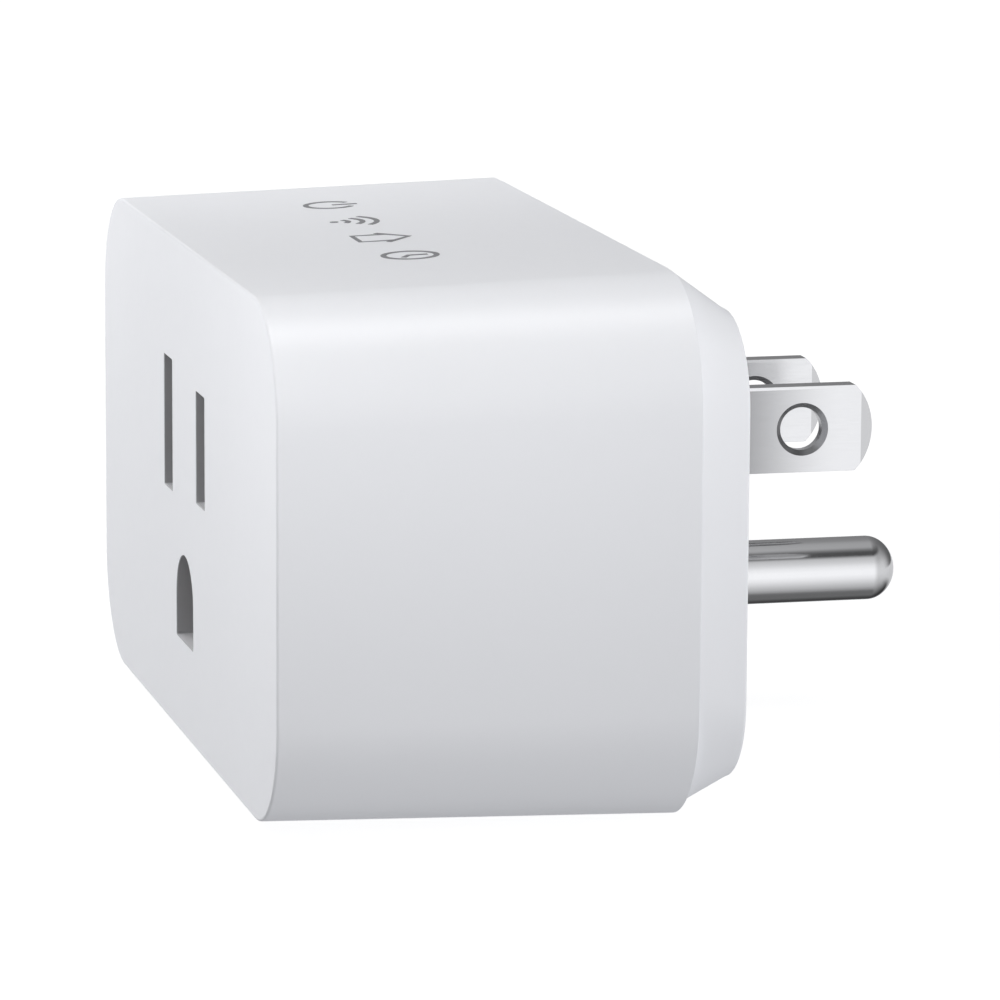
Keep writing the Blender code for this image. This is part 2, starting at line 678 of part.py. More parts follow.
def clip_tail(name, x, tail_z, inner_z):
    """The L-shaped tail that leaves a clip's back and passes through the power board."""
    near = min(tail_z, key=lambda z: abs(z - inner_z))
    far = max(tail_z, key=lambda z: abs(z - inner_z))
    back = CLIP_BACK + TAIL_RISE
    root = CLIP_BACK - CLIP_THICK * 0.4
    outline = [(root, inner_z), (root, far), (CLIP_TAIL_END, far),
               (CLIP_TAIL_END, near), (back, near), (back, inner_z)]
    return plate(name + "_tail", outline, "YZ", around(x, CLIP_TAIL_HALF_X))


def contact_carrier():
    """The insulating block with a pocket for each clip."""
    made = plate("contact_carrier", carrier_outline(), "XZ", CARRIER_Y, "black_plastic")
    through = widened(CARRIER_Y, OVERSHOOT)
    for side in (-1, 1):
        cut(made, box(f"line_pocket_{side + 2}", around(side * HOT_X, POCKET_HALF), through,
                      LINE_POCKET_Z))
        cut(made, rod(f"carrier_pilot_{side + 2}", (side * CARRIER_SCREW_X, CARRIER_SCREW_Z),
                      "Y", PILOT_R, CARRIER_PILOT_Y, sides=12))
    cut(made, box("ground_pocket", around(0, GROUND_POCKET_HALF), through, GROUND_POCKET_Z))
    return made


def carrier_outline():
    centre_z = (CARRIER_Z[0] + CARRIER_Z[1]) / 2
    return rounded_outline(2 * CARRIER_X, CARRIER_Z[1] - CARRIER_Z[0], CARRIER_CORNER, 2,
                           (0, centre_z))


def carrier_cover():
    """The plate that closes the pockets behind the clips."""
    made = plate("carrier_cover", carrier_outline(), "XZ", COVER_PLATE_Y, "black_plastic")
    span = widened(COVER_PLATE_Y, OVERSHOOT)
    for name, x, z in clip_tails():
        cut(made, box(f"cover_{name}_slot", around(x, CLIP_TAIL_HALF_X + GAP), span, widened(z)))
    for side in (-1, 1):
        cut(made, rod(f"cover_hole_{side + 2}", (side * CARRIER_SCREW_X, CARRIER_SCREW_Z),
                      "Y", PILOT_R, span, sides=12))
    return made


def clip_tails():
    """Name, x and (low, high) z of each clip tail."""
    return (("hot", HOT_X, LINE_TAIL_Z), ("neutral", NEUTRAL_X, LINE_TAIL_Z),
            ("ground", 0.0, GROUND_TAIL_Z))


# ---------------------------------------------------------------- power board

def power_board():
    """The main circuit board, parallel to the wall face, with every tail's opening."""
    outline = rounded_outline(BOARD_WIDTH, BOARD_HEIGHT, BOARD_CORNER)
    board = plate("power_board", outline, "XZ", BOARD_Y, "circuit_board")
    span = widened(BOARD_Y, OVERSHOOT)
    for side in (-1, 1):
        cut(board, box(f"board_blade_{side + 2}", around(side * HOT_X, BLADE_THICK / 2 + GAP),
                       span, around(BLADE_Z, TAIL_HALF + GAP)))
    for name, x, z in clip_tails():
        cut(board, box(f"board_{name}_slot", around(x, CLIP_TAIL_HALF_X + GAP), span, widened(z)))
    cut(board, rod("board_pin_hole", (0, PIN_Z), "Y", PIN_TAIL_R + GAP, span))
    cut(board, box("board_relay_slot", around(COIL_X, ARM_HALF + GAP), span,
                   widened(FIXED_LEG_Z)))
    for number, (x, z) in enumerate(post_places(), 1):
        cut(board, rod(f"board_hole_{number}", (x, z), "Y", PILOT_R, span, sides=12))
    return board


def busbar(name, outline, tails):
    """A tinned strip on the board, slipped over the tails that it connects."""
    made = plate(name, outline, "XZ", BUSBAR_Y, "tinned_copper")
    for number, (x, z) in enumerate(tails, 1):
        cut(made, box(f"{name}_slot_{number}", widened(x), widened(BUSBAR_Y, OVERSHOOT), widened(z)))
    return made


def busbars():
    blade_tail_z = around(BLADE_Z, TAIL_HALF)
    clip_x = CLIP_TAIL_HALF_X
    line_x = BLADE_THICK / 2
    relay_tail = (around(COIL_X, ARM_HALF), FIXED_LEG_Z)
    busbar("neutral_busbar", rectangle(*NEUTRAL_BUSBAR),
           ((around(NEUTRAL_X, line_x), blade_tail_z), (around(NEUTRAL_X, clip_x), LINE_TAIL_Z)))
    busbar("line_busbar", rectangle(*LINE_BUSBAR), ((around(HOT_X, line_x), blade_tail_z),))
    busbar("load_busbar", LOAD_BUSBAR, ((around(HOT_X, clip_x), LINE_TAIL_Z), relay_tail))
    strap = busbar("ground_strap", rectangle(*GROUND_STRAP),
                   ((around(0, clip_x), GROUND_TAIL_Z),))
    cut(strap, rod("strap_pin_hole", (0, PIN_Z), "Y", PIN_TAIL_R + GAP, widened(BUSBAR_Y, OVERSHOOT)))


def can_capacitor(name, x, z):
    """An electrolytic capacitor standing on the board, with its crimp groove."""
    low, middle, high = CRIMP_Y
    profile = [(0.0, CAPACITOR_LENGTH), (CAPACITOR_R - CAN_ROUND, CAPACITOR_LENGTH),
               (CAPACITOR_R, CAPACITOR_LENGTH - CAN_ROUND), (CAPACITOR_R, high),
               (CAPACITOR_R - CRIMP_DEPTH, middle), (CAPACITOR_R, low), (CAPACITOR_R, 0.0), (0.0, 0.0)]
    return turned(name, (x, COMPONENT_Y, z), "-Y", profile, "black_plastic", 24)


def spool_profile(flange_r, hub_r, levels):
    """A turned spool: levels are its top and the two inner faces of its flanges."""
    top, upper, lower = levels
    return [(0.0, top), (flange_r, top), (flange_r, upper), (hub_r, upper), (hub_r, lower),
            (flange_r, lower), (flange_r, 0.0), (0.0, 0.0)]


def power_components():
    """What stands on the power board beside the relay."""
    for number, (x, z) in enumerate(CAPACITOR_PLACES, 1):
        can_capacitor(f"bulk_capacitor_{number}", x, z)
    x, z = INDUCTOR_PLACE
    drum = spool_profile(INDUCTOR_FLANGE_R, INDUCTOR_HUB_R, INDUCTOR_LEVELS)
    turned("inductor_core", (x, COMPONENT_Y, z), "-Y", drum, "ferrite")
    winding("inductor_winding", (x, COMPONENT_Y, z), INDUCTOR_WIRE_R, INDUCTOR_WIRE_RUN)
    box("film_capacitor", *FILM_CAPACITOR, "grey_plastic")
    varistor = rod("varistor", (VARISTOR_X, VARISTOR_Y), "Z", VARISTOR_R, VARISTOR_Z, "ceramic_blue", 24)
    for side in (-1, 1):
        place = (VARISTOR_X + side * VARISTOR_LEAD_X, VARISTOR_LEAD_Z)
        join(varistor, rod(f"varistor_lead_{side + 2}", place, "Y", LEAD_R, LEAD_Y, sides=8))
    x, z = RESISTOR_PLACE
    turned("fusible_resistor", (x, COMPONENT_Y, z), "-Y", RESISTOR_PROFILE, "grey_plastic", 16)
    box("bridge_rectifier", *RECTIFIER, "black_plastic")
    box("regulator_chip", *REGULATOR, "black_plastic")


def winding(name, at, radii, span):
    """A coil of wire as one turned ring; radii are inner and outer, span its run."""
    inner, outer = radii
    low, high = span
    ring = [(inner, high), (outer, high), (outer, low), (inner, low), (inner, high)]
    return turned(name, at, "-Y", ring, "enamelled_wire", 24)


# ---------------------------------------------------------------- relay

def relay_shell():
    """The relay's base and the case that drops over it."""
    inner_x = widened(RELAY_X, -RELAY_WALL)
    inner_z = widened(RELAY_Z, -RELAY_WALL)
    case = box("relay_case", RELAY_X, (RELAY_FRONT, RELAY_BACK), RELAY_Z, "relay_blue")
    room_y = (RELAY_FRONT + RELAY_WALL, RELAY_BACK + OVERSHOOT)
    cut(case, box("relay_room", inner_x, room_y, inner_z))
    base = box("relay_base", widened(inner_x, -GAP), (RELAY_BASE_FRONT, RELAY_BACK),
               widened(inner_z, -GAP), "black_plastic")
    cut(base, box("base_slot", around(COIL_X, ARM_HALF + GAP), BASE_SLOT_Y, widened(FIXED_LEG_Z)))


def relay_magnet():
    """Bobbin, winding, core and the L-shaped yoke."""
    foot = (COIL_X, BOBBIN_BACK, COIL_Z)
    spool = spool_profile(SPOOL_R, SPOOL_HUB_R, SPOOL_LEVELS)
    bobbin = turned("relay_bobbin", foot, "-Y", spool, "black_plastic")
    bore_y = (BOBBIN_BACK - SPOOL_LEVELS[0] - OVERSHOOT, BOBBIN_BACK + OVERSHOOT)
    cut(bobbin, rod("bobbin_bore", (COIL_X, COIL_Z), "Y", SPOOL_BORE_R, bore_y))
    winding("relay_coil", foot, COIL_R, COIL_RUN)
    top, under = CORE_LEVELS
    core = [(0.0, top), (POLE_R, top), (POLE_R, under), (CORE_R, under), (CORE_R, 0.0), (0.0, 0.0)]
    turned("relay_core", foot, "-Y", core, "steel")
    half = YOKE_THICK / 2
    path = [(YOKE_BACK - half, YOKE_TOP), (YOKE_BACK - half, HINGE_Z + half),
            (ARMATURE_Y[1] + GAP, HINGE_Z + half)]
    bent_strip("relay_yoke", path, "YZ", around(COIL_X, YOKE_HALF), YOKE_THICK, YOKE_BEND, "steel")


def relay_switch():
    """The hinged armature, the contact arm that rides on it, and the fixed contact."""
    hinge = Vector((COIL_X, ARMATURE_Y[1], HINGE_Z)) * MM
    armature = box("relay_armature", around(COIL_X, YOKE_HALF), ARMATURE_Y, (HINGE_Z, ARMATURE_TOP),
                   "steel")
    arm = box("relay_moving_contact", around(COIL_X, ARM_HALF), ARM_Y, ARM_Z, "spring_copper")
    join(arm, rod("moving_rivet", (COIL_X, CONTACT_Z), "Y", CONTACT_R,
                  (ARM_Y[0] + RIVET_ROOT, MOVING_CONTACT_FACE), sides=16))
    for piece in (armature, arm):
        move_origin(piece, hinge)
    fixed = box("relay_fixed_contact", around(COIL_X, ARM_HALF), (SHELF_Y, BOARD_Y[1] + 1), FIXED_LEG_Z,
                "spring_copper")
    inset = 0.02
    shelf_z = (FIXED_LEG_Z[0] + inset, SHELF_TOP)
    join(
        fixed,
        box("contact_shelf", around(COIL_X, ARM_HALF - inset), (SHELF_Y - inset, SHELF_Y + SHELF_THICK),
            shelf_z),
        rod("fixed_rivet", (COIL_X, CONTACT_Z), "Y", CONTACT_R,
            (FIXED_CONTACT_FACE, SHELF_Y + SHELF_THICK / 2), sides=16),
    )


def move_origin(piece, point):
    """Put a piece's origin on its joint axis without moving its shape."""
    piece.data.transform(Matrix.Translation(piece.location - point))
    piece.location = point


# ---------------------------------------------------------------- control board and button

def control_side():
    """The control board with its radio, switch and light."""
    outline = rectangle(CONTROL_Y, (-CONTROL_HALF_Z, CONTROL_HALF_Z))
    plate("control_board", outline, "YZ", CONTROL_X, "circuit_board")
    inner = CONTROL_X[1] + GAP
    outer = CONTROL_X[0] - GAP
    thick, y, z = HEADER_SIZE
    box("board_header", (inner, inner + thick), y, z, "black_plastic")
    radio_thick, y, z = RADIO_BOARD
    box("radio_module", (inner, inner + radio_thick), y, z, "circuit_board")
    can = inner + radio_thick + GAP
    thick, y, z = RADIO_SHIELD
    box("radio_shield", (can, can + thick), y, z, "can_aluminium")
    body = box("switch_body", (outer - SWITCH_DEPTH, outer), around(BUTTON_Y, SWITCH_HALF),
               around(BUTTON_Z, SWITCH_HALF), "black_plastic")
    well_x = (outer - SWITCH_DEPTH - OVERSHOOT, outer - WELL_FLOOR)
    cut(body, rod("switch_well", (BUTTON_Y, BUTTON_Z), "X", WELL_R, well_x, sides=16))
    rod("switch_plunger", (BUTTON_Y, BUTTON_Z), "X", PLUNGER_R, PLUNGER_X, "grey_plastic", 16)
    box("status_led", (outer - LED_DEPTH, outer), around(BUTTON_Y, LED_HALF),
        around(LIGHT_Z, LED_HALF), "led_white")


def button_cap():
    """The round button: a crowned cap in the wall, a stop flange and a stem."""
    face = -BUTTON_FACE
    stop_outer, stop_inner = (-x for x in BUTTON_STOP_X)
    stop_r = BUTTON_R + STOP_WIDTH
    profile = [(0.0, face), (BUTTON_R - 1.2, face - 0.05), (BUTTON_R - 0.3, face - 0.15),
               (BUTTON_R, face - 0.45), (BUTTON_R, stop_outer), (stop_r, stop_outer),
               (stop_r, stop_inner), (BUTTON_STEM_R, stop_inner), (BUTTON_STEM_R, -BUTTON_STEM_END),
               (0.0, -BUTTON_STEM_END)]
    return turned("button_cap", (0, BUTTON_Y, BUTTON_Z), "-X", profile, "button_plastic", 36)


def light_pipe():
    """The clear rod that brings the status light to the wall of the casing."""
    face = -LIGHT_FACE
    stop_outer, stop_inner = (-x for x in LIGHT_STOP_X)
    stop_r = LIGHT_R + LIGHT_STOP_WIDTH
    profile = [(0.0, face), (LIGHT_R - 0.3, face - 0.05), (LIGHT_R, face - 0.3),
               (LIGHT_R, stop_outer), (stop_r, stop_outer), (stop_r, stop_inner),
               (LIGHT_R, stop_inner), (LIGHT_R, -LIGHT_END), (0.0, -LIGHT_END)]
    return turned("light_pipe", (0, BUTTON_Y, LIGHT_Z), "-X", profile, "clear_plastic", 20)


def screws():
    for number, side in enumerate((-1, 1), 1):
        small_screw(f"retainer_screw_{number}", side * RETAINER_SCREW_X, RETAINER_SCREW_Z,
                    RETAINER_Y[0], RETAINER_SCREW_END)
        small_screw(f"carrier_screw_{number}", side * CARRIER_SCREW_X, CARRIER_SCREW_Z,
                    COVER_PLATE_Y[1], CARRIER_SCREW_END)
    for number, (x, z) in enumerate(post_places(), 1):
        small_screw(f"board_screw_{number}", x, z, BOARD_Y[1], BOARD_SCREW_END, BOARD_HEAD_R)


def smooth_round_pieces():
    """Shade curved surfaces smooth and keep real edges sharp."""
    for piece in parts.objects:
        piece.data.shade_smooth()
        piece.data.set_sharp_from_angle(angle=math.radians(30))


def build():
    reset_scene()
    front_housing()
    rear_cover()
    blade("hot_blade", HOT_X)
    blade("neutral_blade", NEUTRAL_X)
    ground_pin()
    blade_retainer()
    line_clip("hot_contact", HOT_X)
    line_clip("neutral_contact", NEUTRAL_X)
    ground_clip()
    contact_carrier()
    carrier_cover()
    power_board()
    busbars()
    power_components()
    relay_shell()
    relay_magnet()
    relay_switch()
    control_side()
    button_cap()
    light_pipe()
    screws()
    smooth_round_pieces()


build()
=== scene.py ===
import json
import math

import bmesh
import bpy
from mathutils import Matrix, Vector


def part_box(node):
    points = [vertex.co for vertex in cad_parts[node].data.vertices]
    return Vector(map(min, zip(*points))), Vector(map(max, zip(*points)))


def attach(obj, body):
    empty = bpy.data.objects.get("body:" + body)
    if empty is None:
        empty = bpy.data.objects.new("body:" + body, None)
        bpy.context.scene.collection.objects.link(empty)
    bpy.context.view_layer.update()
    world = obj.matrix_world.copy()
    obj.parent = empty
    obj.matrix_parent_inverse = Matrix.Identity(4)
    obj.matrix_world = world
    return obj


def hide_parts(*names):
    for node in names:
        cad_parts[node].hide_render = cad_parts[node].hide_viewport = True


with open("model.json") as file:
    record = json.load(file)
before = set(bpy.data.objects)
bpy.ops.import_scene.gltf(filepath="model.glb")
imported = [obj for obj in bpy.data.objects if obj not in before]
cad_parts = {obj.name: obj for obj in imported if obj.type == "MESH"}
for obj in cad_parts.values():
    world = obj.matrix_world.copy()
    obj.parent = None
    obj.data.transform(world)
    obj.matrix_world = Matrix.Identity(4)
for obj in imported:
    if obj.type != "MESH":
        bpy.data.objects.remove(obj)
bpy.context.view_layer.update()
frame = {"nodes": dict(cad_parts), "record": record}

MM = 0.001
CASING = "casing"
BUTTON = "button"


def box_mm(node):
    """A node's low and high corners in millimetres."""
    low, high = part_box(node)
    return Vector(low) / MM, Vector(high) / MM


shell_low, shell_high = box_mm("front_housing")
cover_low, _ = box_mm("rear_cover")
hot_low, hot_high = box_mm("hot_blade")
pin_low, pin_high = box_mm("ground_pin")
cap_low, cap_high = box_mm("button_cap")
pipe_low, pipe_high = box_mm("light_pipe")

FRONT_Y = shell_low.y
SEAM_Y = shell_high.y
DRAFT_X = 0.35                 # how far each side wall leans out from front to rear
DRAFT_Z = 0.9                  # the same for the top and bottom walls
REAR_WIDTH = shell_high.x - shell_low.x
REAR_HEIGHT = shell_high.z - shell_low.z
FRONT_WIDTH = REAR_WIDTH - 2 * DRAFT_X
FRONT_HEIGHT = REAR_HEIGHT - 2 * DRAFT_Z
FRONT_CORNER = 8.0
REAR_CORNER = 8.6
FRONT_ROUND = 0.2              # radius of the edge around the outlet face
REAR_ROUND = 0.07              # and of the edge at the seam
SHELL_WALL = 2.0
CAVITY_WIDTH = 64.0
CAVITY_HEIGHT = 32.4
CAVITY_CORNER = 6.0

BEYOND = 1.0                   # how far a cutter or a joined part runs past a face
CHAMFER = 0.1                  # on the edges of the turned parts
GAP = 0.3                      # clearance around a part that goes through a wall
COVER_SEAM_ROUND = 0.06
COVER_WIDTH = 68.4
COVER_HEIGHT = 38.06
COVER_CORNER = 10.2
WALL_WIDTH = 66.3
WALL_HEIGHT = 32.9
WALL_CORNER = 6.3
WALL_ROUND = 0.3
LIP_FRONT = cover_low.y
POCKET = (60.6, 29.2, 3.0)     # width, height and corner radius of the cover's hollow
POCKET_FLOOR = -2.0
OPENING_SPAN = (-4.0, 2.0)     # depths between which the cover is cut open
OPENING_CORNER = 0.2

HOT_X = (hot_low.x + hot_high.x) / 2
BLADE_THICK = hot_high.x - hot_low.x
BLADE_Z = (hot_low.z + hot_high.z) / 2
BLADE_WIDTH = 6.35
BLADE_TIP = hot_high.y
BLADE_NOSE = 1.35              # how far the round nose stands past the straight edges
BLADE_HOLE_Y = 11.4
BLADE_HOLE_R = 1.58
HOLE_CHAMFER = 0.37
BLADE_EDGE = 0.07              # width of the broken edge of a blade
BLADE_EDGE_ANGLE = 8.0         # the smallest turn, in degrees, that counts as an edge
COIN_START = 15.87             # where the faces start to thin towards the nose
COIN_DEPTH = 0.22
COIN_OVERRUN = 0.1             # how far past the tip that slope would run on
COLLAR = (-4.6, -2.3, 4.4)     # front, back and half height of the clamped collar
TAIL = (hot_low.y, 1.4)        # front end and half height of the tail inside the casing
PROFILE_REACH = 6.0            # half height of the tool that coins a blade

PIN_Z = (pin_low.z + pin_high.z) / 2
PIN_R = 2.39
PIN_DOME = 2.1
PIN_DOME_STEPS = 20
PIN_TIP = pin_high.y
PIN_COLLAR_R = 3.6
PIN_TAIL_R = 1.2

OUTLET_Z = 4.15
SLOT_WIDTH = 3.3
SLOT_HEIGHTS = {HOT_X: 8.1, -HOT_X: 9.7}
SLOT_CORNER = 0.15
GROUND_SLOT = (3.3, -8.0, -11.1)   # radius, height of its arch centre, sill
SILL_CORNER = 0.2
CORNER_GROWTH = 0.5            # a flared slot's corners grow by this much of its own growth
SLOT_CHAMFER = 0.05
SLOT_DEPTH = 6.0
SILL_FACES = -0.9              # faces of a cutter that look down this steeply cut a sill

# Spans run from front to rear.
POSTS = ((28.2, 12.0), (28.2, -12.0), (-28.2, -12.0))      # x and z of the board's posts
POST_R = 1.9
POST_SPAN = (FRONT_Y + BEYOND, -9.5)
POST_PILOT = (-20.0, -5.0)
PILOT_R = 1.1
RIB_X = (12.3, 13.3)           # a rib on each side of the contact carrier
RIB_SPAN = (FRONT_Y + BEYOND, -24.0)
RIB_Z = (-18.0, -6.0)
BOSSES = ((9.5, -9.0), (-9.5, -9.0))       # x and z of the blade retainer's screws
BOSS_R = 2.2
BOSS_SPAN = (-4.6, -1.4)
BOSS_PILOT = (-6.0, -1.2)

BUTTON_Y = (cap_low.y + cap_high.y) / 2
BUTTON_R = 4.6
BUTTON_CROWN = ((0.0, 0.0), (1.4, 0.01), (2.6, 0.03), (3.6, 0.07))     # radius and fall there
BUTTON_FALL = 0.1              # fall of the crown where its rim starts
BUTTON_RIM = 0.35
BUTTON_FLANGE = (30.9, 31.7)   # distances of its faces from the plug's middle plane
BUTTON_FLANGE_R = 5.8
STEM_R = 1.4
LIGHT_Z = (pipe_low.z + pipe_high.z) / 2
LIGHT_R = 1.2
LIGHT_GAP = 0.12
LIGHT_DOME_R = 1.8
LIGHT_FLANGE = (31.0, 31.7)    # distances of its faces, as for the button
LIGHT_FLANGE_R = 1.9
SIDE_BORE = (30.0, 42.0)       # distances from that plane between which the wall is bored


# ---------------------------------------------------------------- node materials

def new_material(name, colour, roughness, metallic=0.0, **sockets):
    """A Principled material; sockets names further inputs to set directly."""
    made = bpy.data.materials.new(name)
    made.use_nodes = True
    shader = made.node_tree.nodes["Principled BSDF"]
    shader.inputs["Base Color"].default_value = (*colour, 1.0)
    shader.inputs["Roughness"].default_value = roughness
    shader.inputs["Metallic"].default_value = metallic
    for socket, value in sockets.items():
        shader.inputs[socket.replace("_", " ")].default_value = value
    return made


def maths(nodes, links, operation, first, second):
    """One Math node; an input is a socket or a number."""
    node = nodes.new("ShaderNodeMath")
    node.operation = operation
    for socket, value in zip(node.inputs, (first, second)):
        if isinstance(value, (int, float)):
            socket.default_value = value
        else:
            links.new(value, socket)
    return node.outputs[0]


def noise(material, scale, detail=3.0, stretch=(1.0, 1.0, 1.0)):
    """A noise texture in the object's own metres; scale is in features per metre."""
    nodes, links = material.node_tree.nodes, material.node_tree.links
    place = nodes.new("ShaderNodeTexCoord")
    mapping = nodes.new("ShaderNodeMapping")
    mapping.inputs["Scale"].default_value = stretch
    texture = nodes.new("ShaderNodeTexNoise")
    texture.inputs["Scale"].default_value = scale
    texture.inputs["Detail"].default_value = detail
    links.new(place.outputs["Object"], mapping.inputs["Vector"])
    links.new(mapping.outputs["Vector"], texture.inputs["Vector"])
    return texture.outputs["Fac"]


NOISE_RANGE = (0.3, 0.7)       # what a noise texture seldom leaves


def vary_roughness(material, value, low, high):
    """Let a noise value move the roughness between two limits."""
    nodes, links = material.node_tree.nodes, material.node_tree.links
    remap = nodes.new("ShaderNodeMapRange")
    remap.inputs["From Min"].default_value = NOISE_RANGE[0]
    remap.inputs["From Max"].default_value = NOISE_RANGE[1]
    remap.inputs["To Min"].default_value = low
    remap.inputs["To Max"].default_value = high
    links.new(value, remap.inputs["Value"])
    links.new(remap.outputs["Result"], nodes["Principled BSDF"].inputs["Roughness"])


def vary_colour(material, value, dark, light):
    """Blend between two colours by a 0..1 value."""
    nodes, links = material.node_tree.nodes, material.node_tree.links
    blend = nodes.new("ShaderNodeMix")
    blend.data_type = "RGBA"
    blend.inputs["A"].default_value = (*dark, 1.0)
    blend.inputs["B"].default_value = (*light, 1.0)
    links.new(value, blend.inputs["Factor"])
    links.new(blend.outputs["Result"], nodes["Principled BSDF"].inputs["Base Color"])


def add_bump(material, value, strength, distance):
    """Surface relief from a 0..1 value; distance is its full height in metres."""
    nodes, links = material.node_tree.nodes, material.node_tree.links
    bump = nodes.new("ShaderNodeBump")
    bump.inputs["Strength"].default_value = strength
    bump.inputs["Distance"].default_value = distance
    links.new(value, bump.inputs["Height"])
    links.new(bump.outputs["Normal"], nodes["Principled BSDF"].inputs["Normal"])


def along_axis(material, axis, start, end):
    """A 0..1 ramp between two places along an axis of the object, in millimetres."""
    nodes, links = material.node_tree.nodes, material.node_tree.links
    place = nodes.new("ShaderNodeTexCoord")
    split = nodes.new("ShaderNodeSeparateXYZ")
    remap = nodes.new("ShaderNodeMapRange")
    remap.interpolation_type = "SMOOTHSTEP"
    remap.inputs["From Min"].default_value = start * MM
    remap.inputs["From Max"].default_value = end * MM
    links.new(place.outputs["Object"], split.inputs["Vector"])
    links.new(split.outputs[axis], remap.inputs["Value"])
    return remap.outputs["Result"]


MOTTLE = 0.985                 # the darker patches of a moulded surface
MOTTLE_PER_M = 60.0
SHEEN_PER_M = 900.0            # and its patches of other gloss
SHEEN_CHANGE = 0.03


def moulded_plastic(name, colour, roughness=0.42, texture_per_m=5200.0, relief=0.000004):
    """Injection-moulded plastic: a fine spark-eroded texture and faint colour mottling."""
    made = new_material(name, colour, roughness)
    darker = tuple(channel * MOTTLE for channel in colour)
    vary_colour(made, noise(made, MOTTLE_PER_M), darker, colour)
    vary_roughness(made, noise(made, SHEEN_PER_M), roughness - SHEEN_CHANGE,
                   roughness + SHEEN_CHANGE)
    add_bump(made, noise(made, texture_per_m, 2.0), 0.35, relief)
    return made


GRAIN = (1.0, 0.06, 1.0)       # drawing lines are stretched along Y
GRAIN_PER_M = 9000.0
GRAIN_RELIEF = 0.0000012


def plated_metal(name, colour, roughness):
    """Plated metal with fine drawing lines along the part."""
    made = new_material(name, colour, roughness, 1.0)
    lines = noise(made, GRAIN_PER_M, 4.0, GRAIN)
    vary_roughness(made, lines, roughness - 0.04, roughness + 0.06)
    add_bump(made, lines, 0.25, GRAIN_RELIEF)
    return made


PAINTED_SHADE_SPAN = (5.0, 14.5)           # where a blade's painted shade, darkest by the wall, gives way to its bright nickel, along Y
HIGHLIGHT_DEPTHS = (0.28, 0.2)      # a painted highlight along its top edge, faded in between these depths below it
# colours of a blade's painted shade by the wall and of its bright nickel, which the painted
# highlight also uses
BLADE_PAINTED_SHADE = (0.32, 0.32, 0.325)
BLADE_BRIGHT = (0.84, 0.84, 0.845)


def blade_metal():
    """Nickel plate, darkened towards the wall by painted shade, with a painted highlight along its
    top edge.
    """
    made = plated_metal("blade_nickel", (0.80, 0.80, 0.80), 0.20)
    # a ramp from the painted shade by the wall to the bright nickel
    shade_ramp = along_axis(made, "Y", *PAINTED_SHADE_SPAN)
    top = BLADE_Z + BLADE_WIDTH / 2
    # the painted highlight along the top edge
    edge = along_axis(made, "Z", top - HIGHLIGHT_DEPTHS[0], top - HIGHLIGHT_DEPTHS[1])
    nodes, links = made.node_tree.nodes, made.node_tree.links
    # the painted highlight lifts the painted shade along the top edge
    shade_and_highlight = maths(nodes, links, "MAXIMUM", shade_ramp, edge)
    vary_colour(made, shade_and_highlight, BLADE_PAINTED_SHADE, BLADE_BRIGHT)
    return made


def circuit_laminate():
    """Solder-masked board: green with paler and darker runs of copper underneath."""
    made = new_material("board_laminate", (0.03, 0.20, 0.09), 0.38, Coat_Weight=0.3)
    nodes, links = made.node_tree.nodes, made.node_tree.links
    place = nodes.new("ShaderNodeTexCoord")
    tracks = nodes.new("ShaderNodeTexBrick")
    tracks.inputs["Scale"].default_value = 420.0
    tracks.inputs["Color1"].default_value = (0.05, 0.27, 0.12, 1.0)
    tracks.inputs["Color2"].default_value = (0.02, 0.15, 0.07, 1.0)
    tracks.inputs["Mortar"].default_value = (0.015, 0.11, 0.05, 1.0)
    links.new(place.outputs["Object"], tracks.inputs["Vector"])
    links.new(tracks.outputs["Color"], nodes["Principled BSDF"].inputs["Base Color"])
    add_bump(made, tracks.outputs["Fac"], 0.2, 0.00003)
    return made


def wound_wire():
    """Enamelled copper turns: ridges across the winding with a warm gloss."""
    made = new_material("wound_copper", (0.55, 0.19, 0.06), 0.3, 0.7)
    nodes, links = made.node_tree.nodes, made.node_tree.links
    place = nodes.new("ShaderNodeTexCoord")
    turns = nodes.new("ShaderNodeTexWave")
    turns.bands_direction = "Y"
    turns.inputs["Scale"].default_value = 900.0
    links.new(place.outputs["Object"], turns.inputs["Vector"])
    vary_colour(made, turns.outputs["Fac"], (0.30, 0.09, 0.03), (0.68, 0.27, 0.10))
    add_bump(made, turns.outputs["Fac"], 0.6, 0.00006)
    return made


